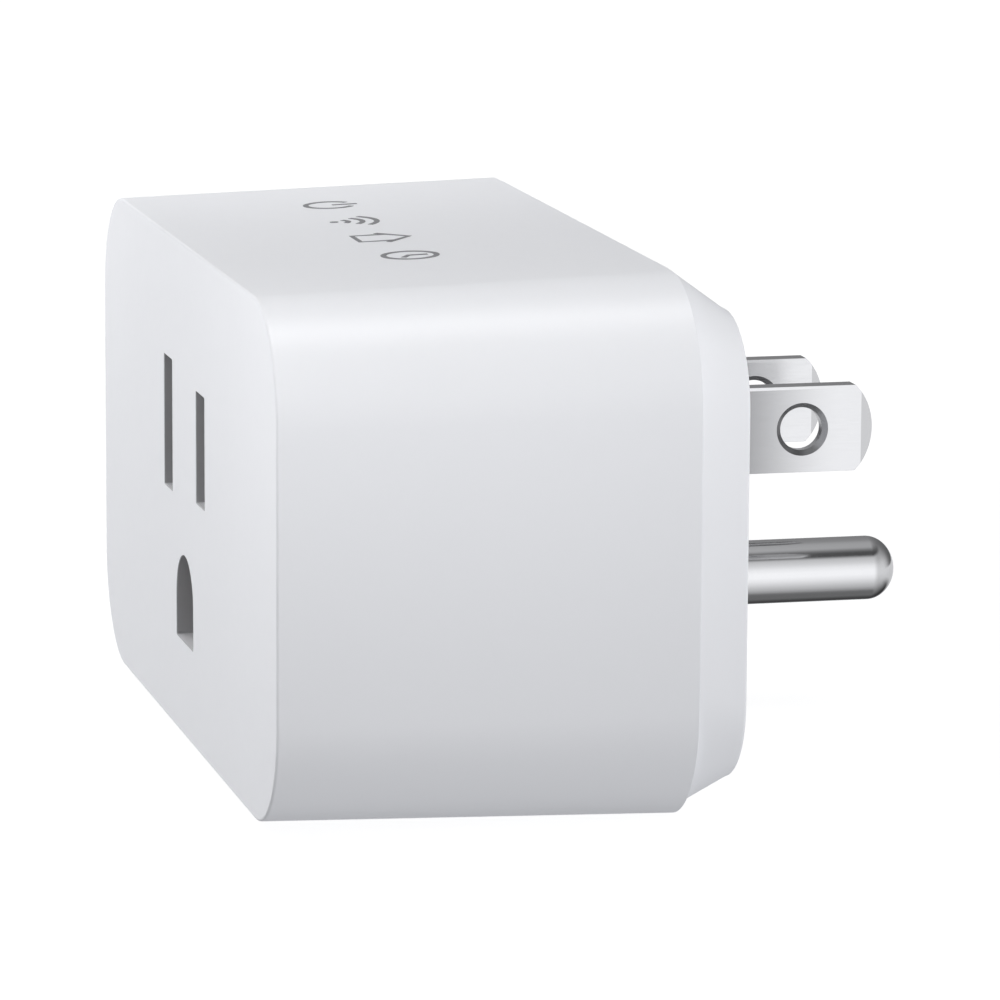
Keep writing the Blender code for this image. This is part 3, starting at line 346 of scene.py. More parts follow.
MATERIALS = {
    "white_plastic": moulded_plastic("casing_white", (0.835, 0.843, 0.868)),
    # the cover's white is lighter than the shell's: painted light for the brighter light on the
    # cover's leaning walls
    "cover_plastic": moulded_plastic("cover_white", (0.860, 0.868, 0.894)),
    "button_plastic": moulded_plastic("button_white", (0.845, 0.852, 0.874), 0.46),
    "black_plastic": moulded_plastic("inner_black", (0.025, 0.025, 0.028), 0.45),
    "grey_plastic": moulded_plastic("component_grey", (0.42, 0.43, 0.44), 0.5),
    "relay_blue": moulded_plastic("relay_case_blue", (0.04, 0.14, 0.40), 0.32),
    "blue_coating": moulded_plastic("disc_coating_blue", (0.04, 0.22, 0.48), 0.35, 2600.0,
                                    0.00002),
    "capacitor_sleeve": moulded_plastic("sleeve_black", (0.02, 0.02, 0.024), 0.28),
    "ferrite": moulded_plastic("ferrite_grey", (0.07, 0.07, 0.074), 0.7, 3000.0, 0.00002),
    "led_white": moulded_plastic("light_diffuser", (0.92, 0.92, 0.84), 0.3),
    "nickel_blade": blade_metal(),
    "polished_pin": plated_metal("pin_nickel", (0.86, 0.86, 0.865), 0.09),
    "tinned_copper": plated_metal("tinned_strip", (0.70, 0.69, 0.66), 0.32),
    "spring_copper": plated_metal("contact_copper", (0.80, 0.46, 0.26), 0.30),
    "steel": plated_metal("zinc_steel", (0.60, 0.60, 0.61), 0.32),
    "shield_tin": plated_metal("shield_tin", (0.74, 0.74, 0.75), 0.30),
    "enamelled_wire": wound_wire(),
    "circuit_board": circuit_laminate(),
    "clear_plastic": new_material("clear_guide", (0.93, 0.95, 0.97), 0.12,
                                  Transmission_Weight=0.6, IOR=1.49),
}
# darker nickel for the walls of a blade's hole: painted shade in the recess
HOLE_PAINTED_SHADE = plated_metal("blade_hole_painted_shade", (0.40, 0.40, 0.405), 0.3)
# grey for the slots' inner walls: painted shade in the recesses of the same white plastic
SLOT_PAINTED_SHADE = moulded_plastic("slot_wall_painted_shade", (0.45, 0.455, 0.47), 0.5)
PRINT_GREY = moulded_plastic("print_grey", (0.22, 0.222, 0.23), 0.55)


# ---------------------------------------------------------------- mesh helpers

def add_piece(name, mesh, material, place=None):
    """Put a mesh in the scene with its material."""
    piece = bpy.data.objects.new(name, mesh)
    bpy.context.scene.collection.objects.link(piece)
    if place is not None:
        piece.matrix_world = place
    mesh.materials.append(material)
    return piece


def mesh_from(name, bm):
    """Close a bmesh into a mesh whose faces look outwards."""
    bmesh.ops.recalc_face_normals(bm, faces=bm.faces)
    mesh = bpy.data.meshes.new(name)
    bm.to_mesh(mesh)
    bm.free()
    return mesh


def rounded_outline(width, height, radius, segments, centre=(0.0, 0.0)):
    """A rectangle with round corners, anticlockwise from the right-hand side."""
    points = []
    corners = ((1, 1, 0), (-1, 1, 90), (-1, -1, 180), (1, -1, 270))
    for side_x, side_z, start in corners:
        corner_x = centre[0] + side_x * (width / 2 - radius)
        corner_z = centre[1] + side_z * (height / 2 - radius)
        for step in range(segments + 1):
            angle = math.radians(start + 90 * step / segments)
            points.append((corner_x + radius * math.cos(angle),
                           corner_z + radius * math.sin(angle)))
    return points


def lofted_mesh(name, rings):
    """A closed body through rings of equal count; each ring is (y, list of (x, z))."""
    bm = bmesh.new()
    slot = bm.verts.layers.int.new("ring_slot")
    y, outline = rings[0]
    ring = []
    for number, (x, z) in enumerate(outline):
        vert = bm.verts.new(Vector((x, y, z)) * MM)
        vert[slot] = number
        ring.append(vert)
    first = cap = bm.faces.new(ring)
    for y, outline in rings[1:]:
        grown = bmesh.ops.extrude_face_region(bm, geom=[cap])["geom"]
        if cap is not first:
            bmesh.ops.delete(bm, geom=[cap], context="FACES_ONLY")
        cap = next(item for item in grown if isinstance(item, bmesh.types.BMFace))
        for vert in cap.verts:
            x, z = outline[vert[slot]]
            vert.co = Vector((x, y, z)) * MM
    return mesh_from(name, bm)


def section_rings(sections, segments):
    """Rounded sections (y, width, height, corner radius) as rings."""
    return [(y, rounded_outline(w, h, r, segments)) for y, w, h, r in sections]


def rounded_edge(y, width, height, corner, radius, facing, steps=4):
    """Sections that roll an end of a body over by a radius.

    facing is -1 for an end that looks towards -Y and 1 for one that looks towards +Y.
    """
    sections = []
    for step in range(steps + 1):
        angle = math.radians(90 * step / steps)
        inset = radius * (1 - math.sin(angle))
        depth = radius * (1 - math.cos(angle))
        sections.append((y - facing * depth, width - 2 * inset, height - 2 * inset,
                         corner - inset))
    return sections


WELD = 0.0000005               # points of a turned body closer than this, in metres, are one


def turned_mesh(name, profile, steps):
    """A solid of revolution about local Z through (radius, height) points, top first."""
    bm = bmesh.new()
    verts = [bm.verts.new((radius * MM, 0.0, height * MM)) for radius, height in profile]
    edges = [bm.edges.new(pair) for pair in zip(verts, verts[1:])]
    bmesh.ops.spin(
        bm, geom=verts + edges, cent=(0, 0, 0), axis=(0, 0, 1), angle=math.tau, steps=steps,
        use_duplicate=False,
    )
    bmesh.ops.remove_doubles(bm, verts=bm.verts, dist=WELD)
    return mesh_from(name, bm)


def arc(centre, radius, start, end, steps):
    """Points on an arc from one angle to another, in degrees."""
    angles = [math.radians(start + (end - start) * step / steps) for step in range(steps + 1)]
    return [(centre[0] + radius * math.cos(a), centre[1] + radius * math.sin(a)) for a in angles]


def prism_mesh(name, outline, low, high, normal):
    """An outline pushed between two heights along a frame axis, X or Y or Z."""
    bm = bmesh.new()

    def at(across, up, height):
        places = {"X": (height, across, up), "Y": (across, height, up), "Z": (across, up, height)}
        return Vector(places[normal]) * MM

    face = bm.faces.new([bm.verts.new(at(across, up, low)) for across, up in outline])
    grown = bmesh.ops.extrude_face_region(bm, geom=[face])["geom"]
    raised = [item for item in grown if isinstance(item, bmesh.types.BMVert)]
    bmesh.ops.translate(bm, vec=at(0, 0, high - low), verts=raised)
    return mesh_from(name, bm)


def cutter(mesh, place=None):
    """A throwaway object for a Boolean."""
    tool = bpy.data.objects.new("tool_" + mesh.name, mesh)
    bpy.context.scene.collection.objects.link(tool)
    if place is not None:
        tool.matrix_world = place
    return tool


def carve(piece, tools, operation="DIFFERENCE"):
    """Apply a Boolean with each tool and remove the tool."""
    for tool in tools:
        change = piece.modifiers.new("carve", "BOOLEAN")
        change.operation = operation
        change.solver = "EXACT"
        change.object = tool
    apply_modifiers(piece)
    for tool in tools:
        bpy.data.objects.remove(tool, do_unlink=True)


def rod_profile(radius, high, low=0.0):
    """The profile of a plain rod between two heights, for turned_mesh."""
    return [(0.0, high), (radius, high), (radius, low), (0.0, low)]


def rod_tool(name, place, radius, span, steps=40):
    """A cutter rod along Y at (x, z), between two depths."""
    low, high = span
    rod = turned_mesh(name, rod_profile(radius, high, low), steps)
    return cutter(rod, moved(place[0], 0.0, place[1], TO_Y))


def paint_second(mesh, slot_name, second):
    """Give a cutter a second material, a painted shade, which its cut's walls keep, all but a level
    sill.
    """
    mesh.materials.append(MATERIALS[slot_name])
    mesh.materials.append(second)
    for face in mesh.polygons:
        face.material_index = 0 if face.normal.z < SILL_FACES else 1


def apply_modifiers(piece):
    """Bake the modifiers of a piece into its mesh."""
    bpy.context.view_layer.update()
    evaluated = piece.evaluated_get(bpy.context.evaluated_depsgraph_get())
    baked = bpy.data.meshes.new_from_object(evaluated)
    piece.modifiers.clear()
    old = piece.data
    piece.data = baked
    bpy.data.meshes.remove(old)


def soften(piece):
    """A small bevel along a blade's edges."""
    rounding = piece.modifiers.new("soften", "BEVEL")
    rounding.width = BLADE_EDGE * MM
    rounding.segments = 2
    rounding.limit_method = "ANGLE"
    rounding.angle_limit = math.radians(BLADE_EDGE_ANGLE)
    rounding.use_clamp_overlap = True
    rounding.harden_normals = False


def shade(piece, angle=30.0):
    """Smooth shading that keeps real edges, with flat faces left flat."""
    piece.data.shade_smooth()
    piece.data.set_sharp_from_angle(angle=math.radians(angle))
    weighted = piece.modifiers.new("flat_faces", "WEIGHTED_NORMAL")
    weighted.keep_sharp = True
    weighted.weight = 100


def place_piece(piece, body, node):
    """Let a piece ride on a body and stand for a CAD node."""
    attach(piece, body)
    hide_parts(node)


# Turns that point local Z, the axis of a turned body, along the named axis.
TO_Y = Matrix.Rotation(math.radians(-90), 4, "X")
TO_X = Matrix.Rotation(math.radians(90), 4, "Y")
TO_MINUS_X = Matrix.Rotation(math.radians(-90), 4, "Y")
SMOOTH_BELOW = 40.0            # turned parts and blades are smooth over turns of fewer degrees


def moved(x, y, z, turn):
    """A placement: a turn, then a shift in millimetres."""
    return Matrix.Translation(Vector((x, y, z)) * MM) @ turn


# ---------------------------------------------------------------- casing

def flared_slot(name, outline_of):
    """A slot cutter through the outlet face whose mouth opens by a small chamfer."""
    rings = [(FRONT_Y - BEYOND, outline_of(SLOT_CHAMFER + BEYOND)),
             (FRONT_Y + SLOT_CHAMFER, outline_of(0.0)), (FRONT_Y + SLOT_DEPTH, outline_of(0.0))]
    mesh = lofted_mesh(name, rings)
    # the slot's walls take the painted shade
    paint_second(mesh, "white_plastic", SLOT_PAINTED_SHADE)
    return cutter(mesh)


def blade_slot_outline(x, height):
    """The outline of a blade's slot, as a function of how far it has grown outwards."""
    def outline(grow):
        corner = SLOT_CORNER + grow * CORNER_GROWTH
        return rounded_outline(SLOT_WIDTH + 2 * grow, height + 2 * grow, corner, 3, (x, OUTLET_Z))
    return outline


def ground_slot_outline(grow):
    """An arch on a flat sill, grown outwards."""
    radius, centre_z, sill = GROUND_SLOT
    radius += grow
    soft = SILL_CORNER + grow * CORNER_GROWTH
    low = sill - grow
    points = arc((0.0, centre_z), radius, 0, 180, 40)
    points += arc((-radius + soft, low + soft), soft, 180, 270, 4)
    points += arc((radius - soft, low + soft), soft, 270, 360, 4)
    return points


def housing():
    """The shell: drafted walls with large corners, crisp outlet face and three openings."""
    front = rounded_edge(FRONT_Y, FRONT_WIDTH, FRONT_HEIGHT, FRONT_CORNER, FRONT_ROUND, -1)
    rear = rounded_edge(SEAM_Y, REAR_WIDTH, REAR_HEIGHT, REAR_CORNER, REAR_ROUND, 1)
    mesh = lofted_mesh("housing_shell", section_rings(front + rear[::-1], 24))
    piece = add_piece("housing_shell", mesh, MATERIALS["white_plastic"])
    # a slot for the painted shade of the openings' walls
    piece.data.materials.append(SLOT_PAINTED_SHADE)
    cavity_front = FRONT_Y + SHELL_WALL
    cavity = [(cavity_front, CAVITY_WIDTH, CAVITY_HEIGHT, CAVITY_CORNER),
              (SEAM_Y + 5 * BEYOND, CAVITY_WIDTH, CAVITY_HEIGHT, CAVITY_CORNER)]
    tools = [cutter(lofted_mesh("cavity", section_rings(cavity, 12)))]
    for x, height in SLOT_HEIGHTS.items():
        tools.append(flared_slot("blade_slot", blade_slot_outline(x, height)))
    tools.append(flared_slot("ground_slot", ground_slot_outline))
    near, far = SIDE_BORE
    for z, radius in ((0.0, BUTTON_R + GAP), (LIGHT_Z, LIGHT_R + LIGHT_GAP)):
        bore = turned_mesh("side_bore", rod_profile(radius, far - near), 72)
        tools.append(cutter(bore, moved(-near, BUTTON_Y, z, TO_MINUS_X)))
    carve(piece, tools)
    inner = [rod_tool("board_post", place, POST_R, POST_SPAN) for place in POSTS]
    for low, high in (RIB_X, (-RIB_X[1], -RIB_X[0])):
        outline = [(low, RIB_Z[0]), (high, RIB_Z[0]), (high, RIB_Z[1]), (low, RIB_Z[1])]
        inner.append(cutter(prism_mesh("carrier_rib", outline, *RIB_SPAN, "Y")))
    carve(piece, inner, "UNION")
    carve(piece, [rod_tool("post_pilot", place, PILOT_R, POST_PILOT, 24) for place in POSTS])
    shade(piece)
    place_piece(piece, CASING, "front_housing")
    return piece


def rear_cover():
    """The tapered cover with its lip, blade openings and pin opening."""
    front = rounded_edge(SEAM_Y, COVER_WIDTH, COVER_HEIGHT, COVER_CORNER, COVER_SEAM_ROUND, -1, 2)
    back = rounded_edge(0.0, WALL_WIDTH, WALL_HEIGHT, WALL_CORNER, WALL_ROUND, 1, 6)
    mesh = lofted_mesh("wall_cover", section_rings(front + back[::-1], 24))
    piece = add_piece("wall_cover", mesh, MATERIALS["cover_plastic"])
    lip_size = (CAVITY_WIDTH - 2 * GAP, CAVITY_HEIGHT - 2 * GAP, CAVITY_CORNER - GAP)
    lip = [(LIP_FRONT, *lip_size), (SEAM_Y + BEYOND, *lip_size)]
    carve(piece, [cutter(lofted_mesh("lip", section_rings(lip, 12)))], "UNION")
    pocket = [(LIP_FRONT - 2 * BEYOND, *POCKET), (POCKET_FLOOR, *POCKET)]
    tools = [cutter(lofted_mesh("pocket", section_rings(pocket, 8)))]
    front_end, rear_end = OPENING_SPAN
    for x in (HOT_X, -HOT_X):
        outline = rounded_outline(BLADE_THICK + 2 * GAP, BLADE_WIDTH + 2 * GAP, OPENING_CORNER, 3,
                                  (x, BLADE_Z))
        tools.append(cutter(prism_mesh("blade_opening", outline, front_end, rear_end, "Y")))
    bore = turned_mesh("pin_opening", rod_profile(PIN_R + GAP, rear_end - front_end), 64)
    tools.append(cutter(bore, moved(0.0, front_end, PIN_Z, TO_Y)))
    carve(piece, tools)
    carve(piece, [rod_tool("retainer_boss", place, BOSS_R, BOSS_SPAN) for place in BOSSES], "UNION")
    carve(piece, [rod_tool("boss_pilot", place, PILOT_R, BOSS_PILOT, 24) for place in BOSSES])
    shade(piece)
    place_piece(piece, CASING, "rear_cover")


# ---------------------------------------------------------------- blades and pin

def blade(name, node, x):
    """A plated blade: round coined nose, countersunk hole, collar and tail."""
    half = BLADE_WIDTH / 2
    radius = (half * half + BLADE_NOSE * BLADE_NOSE) / (2 * BLADE_NOSE)
    spread = math.degrees(math.asin(half / radius))
    collar_front, collar_back, collar_half = COLLAR
    tail_end, tail_half = TAIL
    lower = [(tail_end, -tail_half), (collar_front, -tail_half), (collar_front, -collar_half),
             (collar_back, -collar_half), (collar_back, -half)]
    tip = arc((BLADE_TIP - radius, 0.0), radius, -spread, spread, 48)
    upper = [(y, -z) for y, z in reversed(lower)]
    outline = [(y, z + BLADE_Z) for y, z in lower + tip + upper]
    thick = BLADE_THICK / 2
    mesh = prism_mesh(name, outline, x - thick, x + thick, "X")
    piece = add_piece(name, mesh, MATERIALS["nickel_blade"])
    wide = thick + BEYOND
    thin = thick - COIN_DEPTH
    start, end = tail_end - BEYOND, BLADE_TIP + COIN_OVERRUN
    side = [(x - wide, start), (x + wide, start), (x + wide, COIN_START), (x + thick, COIN_START),
            (x + thin, end), (x - thin, end), (x - thick, COIN_START), (x - wide, COIN_START)]
    low, high = BLADE_Z - PROFILE_REACH, BLADE_Z + PROFILE_REACH
    coined = prism_mesh("coined_profile", side, low, high, "Z")
    carve(piece, [cutter(coined)], "INTERSECT")
    flare = BLADE_HOLE_R + HOLE_CHAMFER + BEYOND
    throat = thick - HOLE_CHAMFER
    hole = [(0, wide), (flare, wide), (BLADE_HOLE_R, throat), (BLADE_HOLE_R, -throat),
            (flare, -wide), (0, -wide)]
    punch = turned_mesh("blade_hole", hole, 72)
    # the hole's walls take its painted shade
    paint_second(punch, "nickel_blade", HOLE_PAINTED_SHADE)
    piece.data.materials.append(HOLE_PAINTED_SHADE)
    carve(piece, [cutter(punch, moved(x, BLADE_HOLE_Y, BLADE_Z, TO_X))])
    soften(piece)
    shade(piece, SMOOTH_BELOW)
    place_piece(piece, CASING, node)


def ground_pin():
    """The polished round pin with its domed end, collar and tail."""
    dome = [(PIN_R * across, PIN_TIP - PIN_DOME * (1 - up))
            for across, up in arc((0.0, 0.0), 1.0, 90, 0, PIN_DOME_STEPS)]
    front, back = COLLAR[:2]
    collar = [(PIN_R, back + CHAMFER), (PIN_R + CHAMFER, back), (PIN_COLLAR_R - CHAMFER, back),
              (PIN_COLLAR_R, back - CHAMFER), (PIN_COLLAR_R, front + CHAMFER),
              (PIN_COLLAR_R - CHAMFER, front)]
    tail = [(PIN_TAIL_R, front), (PIN_TAIL_R, TAIL[0]), (0.0, TAIL[0])]
    mesh = turned_mesh("ground_pin_polished", dome + collar + tail, 96)
    piece = add_piece("ground_pin_polished", mesh, MATERIALS["polished_pin"],
                      moved(0.0, 0.0, PIN_Z, TO_Y))
    shade(piece, SMOOTH_BELOW)
    place_piece(piece, CASING, "ground_pin")


# ---------------------------------------------------------------- button, light and print

def button():
    """The crowned push button with its rim, flange and stem."""
    face = -cap_low.x
    crown = [(radius, face - fall) for radius, fall in BUTTON_CROWN]
    rim = arc((BUTTON_R - BUTTON_RIM, face - BUTTON_FALL - BUTTON_RIM), BUTTON_RIM, 90, 0, 6)
    inner, outer = BUTTON_FLANGE
    flange = [(BUTTON_R, outer + CHAMFER), (BUTTON_R + CHAMFER, outer),
              (BUTTON_FLANGE_R - CHAMFER, outer), (BUTTON_FLANGE_R, outer - CHAMFER),
              (BUTTON_FLANGE_R, inner)]
    stem = [(STEM_R, inner), (STEM_R, -cap_high.x), (0.0, -cap_high.x)]
    mesh = turned_mesh("button_crown", crown + rim + flange + stem, 96)
    piece = add_piece("button_crown", mesh, MATERIALS["button_plastic"],
                      moved(0.0, BUTTON_Y, 0.0, TO_MINUS_X))
    shade(piece, SMOOTH_BELOW)
    place_piece(piece, BUTTON, "button_cap")


def light_guide():
    """The clear rod of the status light with a domed outer end."""
    dome = arc((0.0, -pipe_low.x - LIGHT_DOME_R), LIGHT_DOME_R, 90, 50, 8)
    dome = [(radius, height) for radius, height in dome if radius < LIGHT_R]
    inner, outer = LIGHT_FLANGE
    body = [(LIGHT_R, outer), (LIGHT_FLANGE_R, outer), (LIGHT_FLANGE_R, inner), (LIGHT_R, inner),
            (LIGHT_R, -pipe_high.x), (0.0, -pipe_high.x)]
    mesh = turned_mesh("status_light_guide", dome + body, 48)
    piece = add_piece("status_light_guide", mesh, MATERIALS["clear_plastic"],
                      moved(0.0, BUTTON_Y, LIGHT_Z, TO_MINUS_X))
    shade(piece, SMOOTH_BELOW)
    place_piece(piece, CASING, "light_pipe")


PRINT_Y = -19.0
PRINT_HALF = 2.1               # half the size of a pictogram
PRINT_LINE = 0.42
PRINT_X = (-16.0, -6.8, 2.4, 11.7)
INK_LIFT = 0.004               # gap between the wall and the ink
INK_THICK = 0.02


def ribbon(bm, points, width, closed=False):
    """A flat printed line of constant width through points in millimetres."""
    count = len(points)
    sides = []
    for number, point in enumerate(points):
        before = points[number - 1] if (number or closed) else point
        after = points[(number + 1) % count] if (number + 1 < count or closed) else point
        along = (Vector(after) - Vector(before)).normalized()
        across = Vector((-along.y, along.x)) * width / 2
        sides.append((Vector(point) + across, Vector(point) - across))
    rows = [[bm.verts.new((edge.x * MM, edge.y * MM, 0.0)) for edge in pair] for pair in sides]
    pairs = list(zip(rows, rows[1:])) + ([(rows[-1], rows[0])] if closed else [])
    for (a, b), (c, d) in pairs:
        bm.faces.new((a, b, d, c))


def top_print():
    """Four generic pictograms on the top wall: power, wireless, home and timer.

    Each is drawn about (x, 0) on the wall, and its sizes are shares of PRINT_HALF.
    """
    bm = bmesh.new()
    half = PRINT_HALF
    x = PRINT_X[0]
    ribbon(bm, arc((x, 0.0), half * 0.85, 125, 415, 40), PRINT_LINE)
    ribbon(bm, [(x, half * 0.1), (x, half)], PRINT_LINE)
    x = PRINT_X[1]
    for radius in (0.5, 1.0, 1.5):
        ribbon(bm, arc((x, -half * 0.75), half * radius, 45, 135, 16), PRINT_LINE)
    ribbon(bm, arc((x, -half * 0.75), half * 0.08, 0, 330, 11), half * 0.16, True)
    x = PRINT_X[2]
    ribbon(bm, [(x - half * 1.1, 0.0), (x, half * 0.95), (x + half * 1.1, 0.0)], PRINT_LINE)
    walls = [(-0.75, 0.25), (-0.75, -0.9), (0.75, -0.9), (0.75, 0.25)]
    ribbon(bm, [(x + half * across, half * up) for across, up in walls], PRINT_LINE)
    x = PRINT_X[3]
    ribbon(bm, arc((x, 0.0), half * 0.9, 0, 351, 39), PRINT_LINE, True)
    ribbon(bm, [(x, half * 0.6), (x, -half * 0.05), (x + half * 0.45, -half * 0.32)], PRINT_LINE)
    lean = math.atan2(DRAFT_Z, SEAM_Y - FRONT_Y - FRONT_ROUND - REAR_ROUND)
    height = FRONT_HEIGHT / 2 + (PRINT_Y - FRONT_Y - FRONT_ROUND) * math.tan(lean)
    piece = add_piece("top_print", mesh_from("top_print", bm), PRINT_GREY,
                      moved(0.0, PRINT_Y, height + INK_LIFT, Matrix.Rotation(lean, 4, "X")))
    ink = piece.modifiers.new("ink", "SOLIDIFY")
    ink.thickness = INK_THICK * MM
    ink.offset = 1.0
    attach(piece, CASING)


# ---------------------------------------------------------------- CAD pieces that stay

def dress_inner_pieces():
    """Give every CAD node its slot's node material."""
    slots = {row["node"]: row["material_slot"] for row in frame["record"]["subparts"]}
    for name, node in frame["nodes"].items():
        node.data.materials.clear()
        node.data.materials.append(MATERIALS[slots[name]])


# ---------------------------------------------------------------- studio

FLOOR_REACH = 6.0              # from its middle to an edge, in metres
FLOOR_DROP = 0.02              # gap under the plug


def studio_floor():
    """A pale floor just under the plug, on which only a soft contact shadow shows."""
    low = min(shell_low.z, cover_low.z)
    bm = bmesh.new()
    bmesh.ops.create_grid(bm, x_segments=1, y_segments=1, size=FLOOR_REACH)
    floor = bpy.data.objects.new("studio_floor", mesh_from("studio_floor", bm))
    floor.location.z = (low - FLOOR_DROP) * MM
    floor.data.materials.append(floor_paper())
    bpy.context.scene.collection.objects.link(floor)
    floor.visible_diffuse = False
    floor.visible_glossy = False
    floor.visible_shadow = False


def floor_paper():
    """White paper that glows a little, so that it stays white between the lights."""
    made = new_material("floor_paper", (0.3, 0.3, 0.302), 0.9, Emission_Strength=1.0)
    nodes, links = made.node_tree.nodes, made.node_tree.links
    place = nodes.new("ShaderNodeTexCoord")
    length = nodes.new("ShaderNodeVectorMath")
    length.operation = "LENGTH"
    glow = nodes.new("ShaderNodeMapRange")
    glow.interpolation_type = "SMOOTHSTEP"
    glow.inputs["From Min"].default_value = FLOOR_FADE[0]
    glow.inputs["From Max"].default_value = FLOOR_FADE[1]
    glow.inputs["To Min"].default_value = FLOOR_GLOW
    links.new(place.outputs["Object"], length.inputs[0])
    links.new(length.outputs["Value"], glow.inputs["Value"])
    tint = nodes.new("ShaderNodeCombineColor")
    for channel in ("Red", "Green", "Blue"):
        links.new(glow.outputs["Result"], tint.inputs[channel])
    links.new(tint.outputs["Color"], nodes["Principled BSDF"].inputs["Emission Color"])
    return made


def studio_world():
    """The surround: soft pools of light for matt surfaces, and a banded room for shiny ones."""
    world = bpy.data.worlds.new("studio")
    bpy.context.scene.world = world
    world.use_nodes = True
    nodes, links = world.node_tree.nodes, world.node_tree.links
    nodes.clear()
    out = nodes.new("ShaderNodeOutputWorld")
    place = nodes.new("ShaderNodeTexCoord")
    view = place.outputs["Generated"]
    path = nodes.new("ShaderNodeLightPath")
    pools = background(nodes, links, pool_light(nodes, links, view, POOLS))
    bands = room_light(nodes, links, view)
    gloss = pool_light(nodes, links, view, GLOSS_POOLS)
    room = background(nodes, links, maths(nodes, links, "ADD", bands, gloss))
    paper = nodes.new("ShaderNodeBackground")
    paper.inputs["Color"].default_value = (1.0, 1.0, 1.0, 1.0)
    shiny = nodes.new("ShaderNodeMixShader")
    links.new(path.outputs["Is Glossy Ray"], shiny.inputs[0])
    links.new(pools.outputs[0], shiny.inputs[1])
    links.new(room.outputs[0], shiny.inputs[2])
    seen = nodes.new("ShaderNodeMixShader")
    links.new(path.outputs["Is Camera Ray"], seen.inputs[0])
    links.new(shiny.outputs[0], seen.inputs[1])
    links.new(paper.outputs[0], seen.inputs[2])
    links.new(seen.outputs[0], out.inputs["Surface"])


def background(nodes, links, strength):
    """A Background node of a slightly cool white."""
    shader = nodes.new("ShaderNodeBackground")
    shader.inputs["Color"].default_value = (*COOL_WHITE, 1.0)
    links.new(strength, shader.inputs["Strength"])
    return shader


def pool_light(nodes, links, view, pools):
    """The sum of soft round pools of light, each about its own direction."""
    total = None
    for azimuth, height, strength in pools:
        turn, rise = math.radians(azimuth), math.radians(height)
        dot = nodes.new("ShaderNodeVectorMath")
        dot.operation = "DOT_PRODUCT"
        dot.inputs[1].default_value = (math.cos(turn) * math.cos(rise),
                                       math.sin(turn) * math.cos(rise), math.sin(rise))
        links.new(view, dot.inputs[0])
        near = maths(nodes, links, "MAXIMUM", dot.outputs["Value"], 0.0)
        focused = maths(nodes, links, "POWER", near, POOL_FOCUS)
        pool = maths(nodes, links, "MULTIPLY", focused, strength)
        total = pool if total is None else maths(nodes, links, "ADD", total, pool)
    return total


def room_light(nodes, links, view):
    """Bands of brightness by height, one set on each side of the plug."""
    split = nodes.new("ShaderNodeSeparateXYZ")
    links.new(view, split.inputs["Vector"])
    side = nodes.new("ShaderNodeMapRange")
    side.interpolation_type = "SMOOTHSTEP"
    side.inputs["From Min"].default_value = SIDE_BLEND[0]
    side.inputs["From Max"].default_value = SIDE_BLEND[1]
    links.new(split.outputs["X"], side.inputs["Value"])
    blend = nodes.new("ShaderNodeMix")
    links.new(side.outputs["Result"], blend.inputs["Factor"])
    links.new(band_ramp(nodes, links, split.outputs["Z"], LEFT_BANDS), blend.inputs["A"])
    links.new(band_ramp(nodes, links, split.outputs["Z"], RIGHT_BANDS), blend.inputs["B"])
    fade = nodes.new("ShaderNodeMapRange")
    fade.inputs["From Min"].default_value = BACK_FADE[0]
    fade.inputs["From Max"].default_value = BACK_FADE[1]
    fade.inputs["To Min"].default_value = 1.0
    fade.inputs["To Max"].default_value = BACK_FADE[2]
    links.new(split.outputs["Y"], fade.inputs["Value"])
    return maths(nodes, links, "MULTIPLY", blend.outputs["Result"], fade.outputs["Result"])


def band_ramp(nodes, links, value, stops):
    """A ramp over -1..1 whose stops are (height, brightness)."""
    shift = nodes.new("ShaderNodeMapRange")
    shift.inputs["From Min"].default_value = -1.0
    links.new(value, shift.inputs["Value"])
    ramp = nodes.new("ShaderNodeValToRGB")
    elements = ramp.color_ramp.elements
    while len(elements) < len(stops):
        elements.new(0.5)
    for element, (position, level) in zip(elements, stops):
        element.position = (position + 1) / 2
        element.color = (level, level, level, 1.0)
    links.new(shift.outputs["Result"], ramp.inputs["Fac"])
    return ramp.outputs["Color"]


COOL_WHITE = (0.99, 0.997, 1.02)
# Pools of light: azimuth from +X, height above the level, both in degrees, and strength.
POOLS = (
    (0, -90, 0.553), (180, 0, 0.3), (90, 0, 1.4), (45, -45, 1.088),
    (90, 45, 0.1), (135, 45, 0.1), (225, 0, 0.25), (270, 0, 0.774),
)
GLOSS_POOLS = ((225, 0, 0.784), (270, 45, 0.419), (270, 0, 0.136))
POOL_FOCUS = 4.0               # a pool falls off as this power of the cosine
# Brightness of the room by the height of its direction, from -1 (below) to 1 (above).
RIGHT_BANDS = (
    (-1.0, 0.13), (-0.965, 0.15), (-0.949, 0.174), (-0.915, 0.349), (-0.833, 0.5),
    (-0.646, 0.721), (-0.434, 0.93), (-0.209, 1.07), (0.025, 1.07), (0.268, 0.953),
    (0.487, 0.733), (0.688, 0.58), (0.767, 0.23), (0.8, 0.08), (0.903, 0.058),
    (0.945, 0.12), (0.97, 0.342), (1.0, 0.55),
)
LEFT_BANDS = (
    (-1.0, 0.13), (-0.964, 0.134), (-0.757, 0.05), (-0.55, 0.06), (-0.36, 0.9),
    (-0.04, 1.0), (0.02, 0.17), (0.411, 0.22), (0.626, 0.25), (0.767, 0.28),
    (0.889, 0.38), (0.945, 0.47), (0.971, 0.55), (1.0, 0.55),
)
SIDE_BLEND = (-0.5, 0.5)       # the left bands turn into the right ones between these
BACK_FADE = (0.26, 0.6, 0.66)  # the room dims towards +Y: start, end, and what is left of it
FLOOR_GLOW = 0.82
FLOOR_FADE = (0.05, 0.2)       # distances from the plug, in metres, over which it whitens
SOFT_BOX_AIM = Vector((0.0, -15.0, 0.0))


